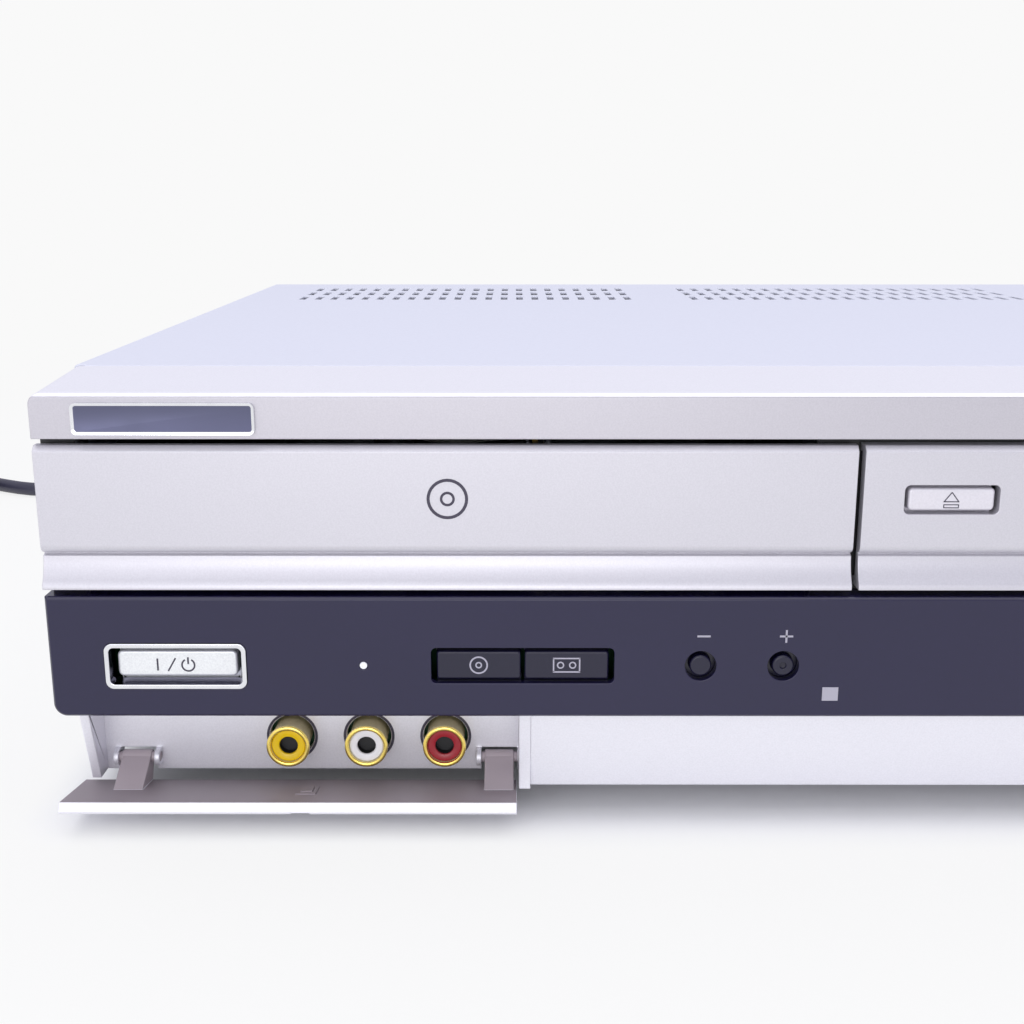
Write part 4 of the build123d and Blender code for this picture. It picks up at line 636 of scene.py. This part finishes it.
def sockets():
    gold = bmesh.new()
    for tip in frontJacks():
        socketShell(gold, tip, backward, jacks["shellLong"])
    shells = makePiece("front_socket_shells", gold, "root", ["gold", "dull gold painted lighter"])
    nickel = bmesh.new()
    for column in rearJacks():
        for tip in column:
            socketShell(nickel, tip, -backward, rearSockets["shellLong"])
    rear = makePiece("rear_socket_shells", nickel, "root", ["nickel", "nickel"])
    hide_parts("phono_shells")
    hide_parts("phono_shells")
    for index, colour in enumerate(("yellow", "white", "red")):
        ring = bmesh.new()
        socketInsert(ring, frontJacks()[index], backward, jacks["insertLong"])
        for tip in rearJacks()[index]:
            socketInsert(ring, tip, -backward, rearSockets["insertLong"])
        node = colour + "_inserts"
        makePiece("socket_rings_" + colour, ring, "root", [colour, "black plastic"], (node,))


sockets()

aerial = {"z": 30.0, "x": (398.0, 415.0), "radius": 4.7, "bore": 3.4, "threads": 7, "threadPitch": 0.8, "long": 6.2}


def aerials():  # the tuner can from the CAD with threaded barrels over its plain ones
    softCopy("antenna_sockets", ["zinc"], 0.12)
    tip = placeOf(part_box("antenna_sockets")[1]).y
    bm = bmesh.new()
    bore = aerial["bore"]
    crest = aerial["radius"] + 0.02
    root = aerial["radius"] - 0.35
    profile = [(bore, 5.0), (bore, 0.2), (bore + 0.2, 0.0), (aerial["radius"] - 0.3, 0.0)]
    for thread in range(aerial["threads"]):
        along = 0.2 + thread * aerial["threadPitch"]
        profile += [(crest, along + 0.2), (root, along + 0.6)]
    profile += [(crest, aerial["long"])]
    for x in aerial["x"]:
        turn(bm, profile, at(x, tip, aerial["z"]), -backward)
    makePiece("aerial_threads", bm, "root", ["nickel"])


aerials()
print("sockets made")


# inside: disc drive, tape deck and boards
insideLooks = {
    "disc_tray": ("black plastic", 0.3), "drive_frame": ("black plastic", 0.0), "tray_pinion": ("white plastic", 0.0),
    "motor_gear": ("white plastic", 0.0), "loading_motor": ("motor", 0.5), "traverse": ("black plastic", 0.2),
    "guide_rods": ("motor", 0.0), "lead_screw": ("motor", 0.0), "spindle_motor": ("motor", 0.0),
    "turntable": ("black plastic", 0.12), "disc_clamper": ("white plastic", 0.3), "optical_pickup": ("zinc", 0.2),
    "deck_plate": ("zinc", 0.0), "lower_drum": ("aluminium", 0.2), "upper_drum": ("aluminium", 0.25),
    "supply_reel": ("black plastic", 0.2), "takeup_reel": ("black plastic", 0.2), "capstan": ("motor", 0.1),
    "pinch_roller": ("rubber", 0.3), "cassette_carriage": ("zinc", 0.0),
}


for node, (look, edge) in insideLooks.items():
    softCopy(node, [look], edge)

boardsAt = {
    "low": 13.9, "high": 15.7, "upright": (11.95, 13.7), "displayX": (180, 266),
    "sinkX": (99.5, 110.5), "sinkY": 201, "windingX": (65, 87), "windingZ": 20, "sleeveX": 58, "sleeveY": 205,
}


def between(value, limits):
    return limits[0] < value < limits[1]


def boardLook(place, normal):  # the board itself, then what stands on it
    return 0 if boardsAt["low"] < place.z < boardsAt["high"] else 1


def supplyLook(place, normal):  # board, heat sink, taped winding, sleeved capacitors, and black parts
    if place.z < boardsAt["high"]:
        return 0
    if between(place.x, boardsAt["sinkX"]) and place.y < boardsAt["sinkY"]:
        return 2
    if between(place.x, boardsAt["windingX"]) and place.z > boardsAt["windingZ"]:
        return 4
    return 3 if place.x < boardsAt["sleeveX"] or place.y > boardsAt["sleeveY"] else 1


def controlLook(place, normal):  # the upright board, the display behind its window, and switches
    if between(place.y, boardsAt["upright"]):
        return 0
    return 2 if between(place.x, boardsAt["displayX"]) else 1


boards = {
    "signal_boards": (["board", "chip"], 0.0, boardLook),
    "power_supply_board": (["board", "chip", "zinc", "sleeve", "tape"], 0.0, supplyLook),
    "control_board": (["board", "chip", "window"], 0.0, controlLook),
}
dress(boards)
print("inside made")

softCopy("case_screws", ["screw"], 0.1)
print("screws made")


# generic signs, printed in ink that is drawn as thick as it needs to be to show
ink = 0.05
inkSink = 0.02  # how far the ink reaches into the surface


def bar(bm, x, z, wide, high, face, lean=0.0):
    made = addBox(bm, x - wide / 2, x + wide / 2, face - ink, face + inkSink, z - high / 2, z + high / 2)
    if lean:
        pivot = Matrix.Rotation(math.radians(lean), 4, "Y")
        bmesh.ops.rotate(bm, cent=at(x, face, z), matrix=pivot, verts=made)


def arc(bm, x, z, radius, line, face, start=0.0, sweep=360.0, steps=32):  # a ring, or part of one, on a front face
    centre = at(x, face, z)
    turned = Matrix.Rotation(math.radians(start), 3, "Y")
    inner = radius - line / 2
    outer = radius + line / 2
    corners = [(inner, -ink), (outer, -ink), (outer, inkSink), (inner, inkSink)]
    verts = [bm.verts.new(centre + (turned @ Vector((along, 0, 0)) + Vector((0, y, 0))) * mm) for along, y in corners]
    section = [bm.faces.new(verts)]
    whole = sweep >= 360.0
    bmesh.ops.spin(
        bm, geom=section + verts + list(section[0].edges), cent=centre, axis=backward,
        angle=math.radians(sweep), steps=steps, use_merge=whole,
    )
    if whole:
        bmesh.ops.delete(bm, geom=section, context="FACES_ONLY")


def triangle(bm, x, z, size, face, heading):  # a filled triangle that points a way
    made = bmesh.ops.create_cone(
        bm, cap_ends=True, segments=3, radius1=size * mm, radius2=size * mm, depth=(ink + inkSink) * mm
    )["verts"]
    lay = Matrix.Rotation(math.radians(90), 3, "X")
    bmesh.ops.rotate(bm, cent=(0, 0, 0), matrix=Matrix.Rotation(math.radians(heading - 90), 3, "Z"), verts=made)
    bmesh.ops.rotate(bm, cent=(0, 0, 0), matrix=lay, verts=made)
    bmesh.ops.translate(bm, vec=at(x, face - (ink - inkSink) / 2, z), verts=made)


def outlinedTriangle(bm, x, z, wide, high, line, face):  # three bars round a triangle that points up
    slope = math.degrees(math.atan2(high, wide / 2))
    side = math.hypot(high, wide / 2)
    bar(bm, x, z - high / 2, wide + line, line, face)
    for way in (-1, 1):
        bar(bm, x + way * wide / 4, z, side, line, face, way * slope)


signs = {
    "power": {"x": 24.9, "z": 33.1, "face": 1.4, "onX": 19.3, "slashX": 21.9},
    "eject": {"x": {"disc_eject": 161.8, "tape_eject": 407.1}, "z": 64.25, "face": 1.15, "wide": 2.6, "high": 1.7},
    "channel": {"minusX": 118.8, "plusX": 133.7, "z": 39.1, "size": 2.4, "line": 0.35},
    "transport": {"x": 339.4, "pitch": 16.0, "z": 39.4},
    "select": {"x": 78.05, "pitch": 16.0, "z": 33.4, "face": 0.4},
    "receiver": {"x": 142.2, "z": 28.0, "wide": 2.9, "high": 2.6},
    "lid": {"x": 72.7, "z": 64.4, "face": 0.75, "rings": ((3.4, 0.55), (1.1, 0.45))},
}


def powerSign():  # on, and the broken ring of standby
    bm = bmesh.new()
    place = signs["power"]
    x = place["x"]
    z = place["z"]
    face = place["face"]
    arc(bm, x, z - 0.1, 1.15, 0.3, face, start=-60, sweep=300)
    bar(bm, x, z + 0.75, 0.3, 1.3, face)
    bar(bm, place["onX"], z, 0.32, 2.3, face)
    bar(bm, place["slashX"], z, 0.28, 2.9, face, 30)
    makePiece("power_sign", bm, "power_button", ["dark print"])


def ejectSigns():  # an outlined triangle over an outlined bar on each eject key
    place = signs["eject"]
    z = place["z"]
    wide = place["wide"]
    face = place["face"]
    for name, x in place["x"].items():
        bm = bmesh.new()
        outlinedTriangle(bm, x, z + 0.45, wide, place["high"], 0.18, face)
        for drop in (0.95, 1.5):
            bar(bm, x, z - drop, wide, 0.16, face)
        for way in (-1, 1):
            bar(bm, x + way * wide / 2, z - 1.22, 0.16, 0.7, face)
        makePiece(name + "_sign", bm, name + "_button", ["dark print"])


def fasciaSigns():  # minus and plus; then rewind, play, forward, stop and record
    bm = bmesh.new()
    place = signs["channel"]
    for x in (place["minusX"], place["plusX"]):
        bar(bm, x, place["z"], place["size"], place["line"], 0.0)
    bar(bm, place["plusX"], place["z"], place["line"], place["size"], 0.0)
    row = signs["transport"]
    z = row["z"]
    x = row["x"]
    pitch = row["pitch"]
    for step in (-0.9, 0.7):
        triangle(bm, x + step, z, 0.95, 0.0, 180)
        triangle(bm, x + 2 * pitch - step, z, 0.95, 0.0, 0)
    triangle(bm, x + pitch, z, 1.2, 0.0, 0)
    bar(bm, x + 3 * pitch, z, 1.9, 1.9, 0.0)
    arc(bm, x + 4 * pitch, z, 0.55, 1.1, 0.0)
    makePiece("fascia_signs", bm, "root", ["print"])


def selectSigns():  # a disc on one key and a cassette on the other
    place = signs["select"]
    x = place["x"]
    z = place["z"]
    face = place["face"]
    disc = bmesh.new()
    arc(disc, x, z, 1.55, 0.28, face)
    arc(disc, x, z, 0.5, 0.24, face)
    makePiece("disc_sign", disc, "select_disc_button", ["print"])
    tape = bmesh.new()
    x += place["pitch"]
    for way in (-1, 1):
        bar(tape, x, z + way * 1.3, 5.0, 0.26, face)
        bar(tape, x + way * 2.37, z, 0.26, 2.6, face)
        arc(tape, x + way * 1.1, z, 0.55, 0.24, face)
    makePiece("tape_sign", tape, "select_tape_button", ["print"])


def sensorMark():  # a plain light square where the remote receiver looks out
    place = signs["receiver"]
    bm = bmesh.new()
    bar(bm, place["x"], place["z"], place["wide"], place["high"], 0.0)
    makePiece("receiver_mark", bm, "root", ["print"])


def lidSign():  # a plain disc on the lid
    place = signs["lid"]
    bm = bmesh.new()
    for radius, line in place["rings"]:
        arc(bm, place["x"], place["z"], radius, line, place["face"])
    makePiece("lid_sign", bm, "tray", ["dark print"])


badge = {
    "x": (7.4, 39.4), "z": (75.9, 81.6), "thick": 0.7, "face": 0.75,
    "corner": 1.0, "rim": 0.55, "dish": 0.3, "edge": 0.12,
}


def blankBadge():  # a bare plate in the bezel: bright rim, satin field
    bm = bmesh.new()
    top = badge["face"] - badge["thick"]
    addBox(bm, *badge["x"], top, badge["face"] + 0.1, *badge["z"])
    common = {"profile": 0.5, "affect": "EDGES", "clamp_overlap": True, "material": -1}
    corners = [e for e in bm.edges if abs((e.verts[0].co - e.verts[1].co).normalized().y) > 0.9]
    bmesh.ops.bevel(bm, geom=corners, offset=badge["corner"] * mm, segments=6, **common)
    plate = [f for f in bm.faces if f.normal.y < -0.9]
    bmesh.ops.inset_region(bm, faces=plate, thickness=badge["rim"] * mm, depth=-badge["dish"] * mm)
    crisp = [e for e in bm.edges if e.calc_face_angle(0.0) > 0.6]
    bmesh.ops.bevel(bm, geom=crisp, offset=badge["edge"] * mm, segments=2, **common)
    for face in bm.faces:
        sunk = placeOf(face.calc_center_median()).y > top + 0.25
        face.material_index = 1 if sunk and face.normal.y < -0.9 else 0
    makePiece("blank_badge", bm, "root", ["chrome", "badge field"])


def jackRings():  # printed rings round the front sockets
    bm = bmesh.new()
    for tip in frontJacks():
        local = placeOf(tip)
        arc(bm, local.x, local.z, jacks["ringRadius"], jacks["ringLine"], jacks["panel"], steps=48)
    makePiece("socket_outlines", bm, "root", ["dark print"])


powerSign()
ejectSigns()
fasciaSigns()
selectSigns()
sensorMark()
lidSign()
blankBadge()
jackRings()
print("signs made")


floor = {
    "half": 6.0, "colour": "#f9f9f9", "fadeFrom": 0.3, "fadeTo": 0.8,
    "glow": 0.85, "glowReach": 0.014, "centre": (215, 124, 0), "footprint": (0.213, 0.117, 1.0),
}
light = {
    "world": 0.72, "tent": "#f4f5ff", "shine": "#d6d6e2", "backdrop": "#f9f9f9",
    "lamps": {
        "overhead softbox": {"place": (120, 60, 1150), "look": (120, 60, 40), "size": 1.5, "power": 8.0},
        "front window": {"place": (-300, -1200, 420), "look": (100, 0, 30), "size": 1.3, "power": 4.2},
        "low front card": {"place": (40, -1000, 40), "look": (40, 0, 15), "size": 0.6, "power": 2.6},
    },
}


def stage():
    material, tree, shader = startMaterial("white paper sweep", Roughness=0.6)
    shader.inputs["Base Color"].default_value = paint(floor["colour"])
    spot = addNode(tree, "TexCoord").outputs["Object"]
    far = addNode(tree, "VectorMath", {0: spot}, operation="LENGTH")
    fade = addNode(
        tree, "MapRange",
        {
            "Value": far.outputs["Value"], "From Min": floor["fadeFrom"], "From Max": floor["fadeTo"],
            "To Min": floor["glow"], "To Max": 1.0,
        },
        interpolation_type="SMOOTHSTEP",
    )
    # the paper is bright right up to the cabinet's footprint, and takes its shadow under it
    centre = at(*floor["centre"])
    shifted = addNode(tree, "VectorMath", {0: spot, 1: centre}, operation="SUBTRACT").outputs["Vector"]
    folded = addNode(tree, "VectorMath", {0: shifted}, operation="ABSOLUTE").outputs["Vector"]
    beyond = addNode(tree, "VectorMath", {0: folded, 1: floor["footprint"]}, operation="SUBTRACT").outputs["Vector"]
    outside = addNode(tree, "VectorMath", {0: beyond, 1: (0, 0, 0)}, operation="MAXIMUM").outputs["Vector"]
    reach = addNode(tree, "VectorMath", {0: outside}, operation="LENGTH").outputs["Value"]
    given = {"Value": reach, "From Max": floor["glowReach"]}
    near = addNode(tree, "MapRange", given, interpolation_type="SMOOTHSTEP")
    bright = addNode(tree, "Math", {0: fade.outputs["Result"], 1: near.outputs["Result"]}, operation="MULTIPLY")
    # only what looks at the paper sees it white: it sheds no light of its own on the cabinet
    ray = addNode(tree, "LightPath")
    eye = addNode(tree, "Math", {0: ray.outputs["Is Camera Ray"], 1: ray.outputs["Is Glossy Ray"]}, operation="MAXIMUM")
    given = {0: eye.outputs["Value"], 1: ray.outputs["Is Transmission Ray"]}
    direct = addNode(tree, "Math", given, operation="MAXIMUM")
    lit = addNode(tree, "Math", {0: bright.outputs["Value"], 1: direct.outputs["Value"]}, operation="MULTIPLY")
    glow = addNode(tree, "Emission", {"Color": paint(floor["colour"]), "Strength": 1.0})
    mix = addNode(tree, "MixShader", {"Fac": lit.outputs["Value"]})
    tree.links.new(shader.outputs["BSDF"], mix.inputs[1])
    tree.links.new(glow.outputs["Emission"], mix.inputs[2])
    tree.links.new(mix.outputs["Shader"], tree.nodes["Material Output"].inputs["Surface"])
    bm = bmesh.new()
    bmesh.ops.create_grid(bm, x_segments=1, y_segments=1, size=floor["half"])
    mesh = bpy.data.meshes.new("floor")
    bm.to_mesh(mesh)
    bm.free()
    mesh.materials.append(material)
    ground = bpy.data.objects.new("floor", mesh)
    bpy.context.scene.collection.objects.link(ground)


def lamps():
    for name, lamp in light["lamps"].items():
        data = bpy.data.lights.new(name, "AREA")
        data.size = lamp["size"]
        data.energy = lamp["power"]
        holder = bpy.data.objects.new(name, data)
        holder.location = at(*lamp["place"])
        aim = at(*lamp["look"]) - at(*lamp["place"])
        holder.rotation_euler = aim.to_track_quat("-Z", "Y").to_euler()
        bpy.context.scene.collection.objects.link(holder)


def world():
    surroundings = bpy.data.worlds.new("white tent")
    surroundings.use_nodes = True
    tree = surroundings.node_tree
    ray = addNode(tree, "LightPath")
    plain = tree.nodes["Background"]
    plain.inputs["Color"].default_value = paint(light["tent"])
    plain.inputs["Strength"].default_value = light["world"]
    seen = addNode(tree, "Background", {"Color": paint(light["backdrop"]), "Strength": 1.0})
    mirrored = addNode(tree, "Background", {"Color": paint(light["shine"]), "Strength": 1.0})
    direct = addNode(
        tree, "Math", {0: ray.outputs["Is Camera Ray"], 1: ray.outputs["Is Transmission Ray"]}, operation="MAXIMUM"
    )
    gloss = addNode(tree, "MixShader", {"Fac": ray.outputs["Is Glossy Ray"]})
    tree.links.new(plain.outputs["Background"], gloss.inputs[1])
    tree.links.new(mirrored.outputs["Background"], gloss.inputs[2])
    mix = addNode(tree, "MixShader", {"Fac": direct.outputs["Value"]})
    tree.links.new(gloss.outputs["Shader"], mix.inputs[1])
    tree.links.new(seen.outputs["Background"], mix.inputs[2])
    tree.links.new(mix.outputs["Shader"], tree.nodes["World Output"].inputs["Surface"])
    bpy.context.scene.world = surroundings


stage()
lamps()
world()
bpy.context.scene.view_settings.view_transform = "Standard"
print("stage and lamps set")
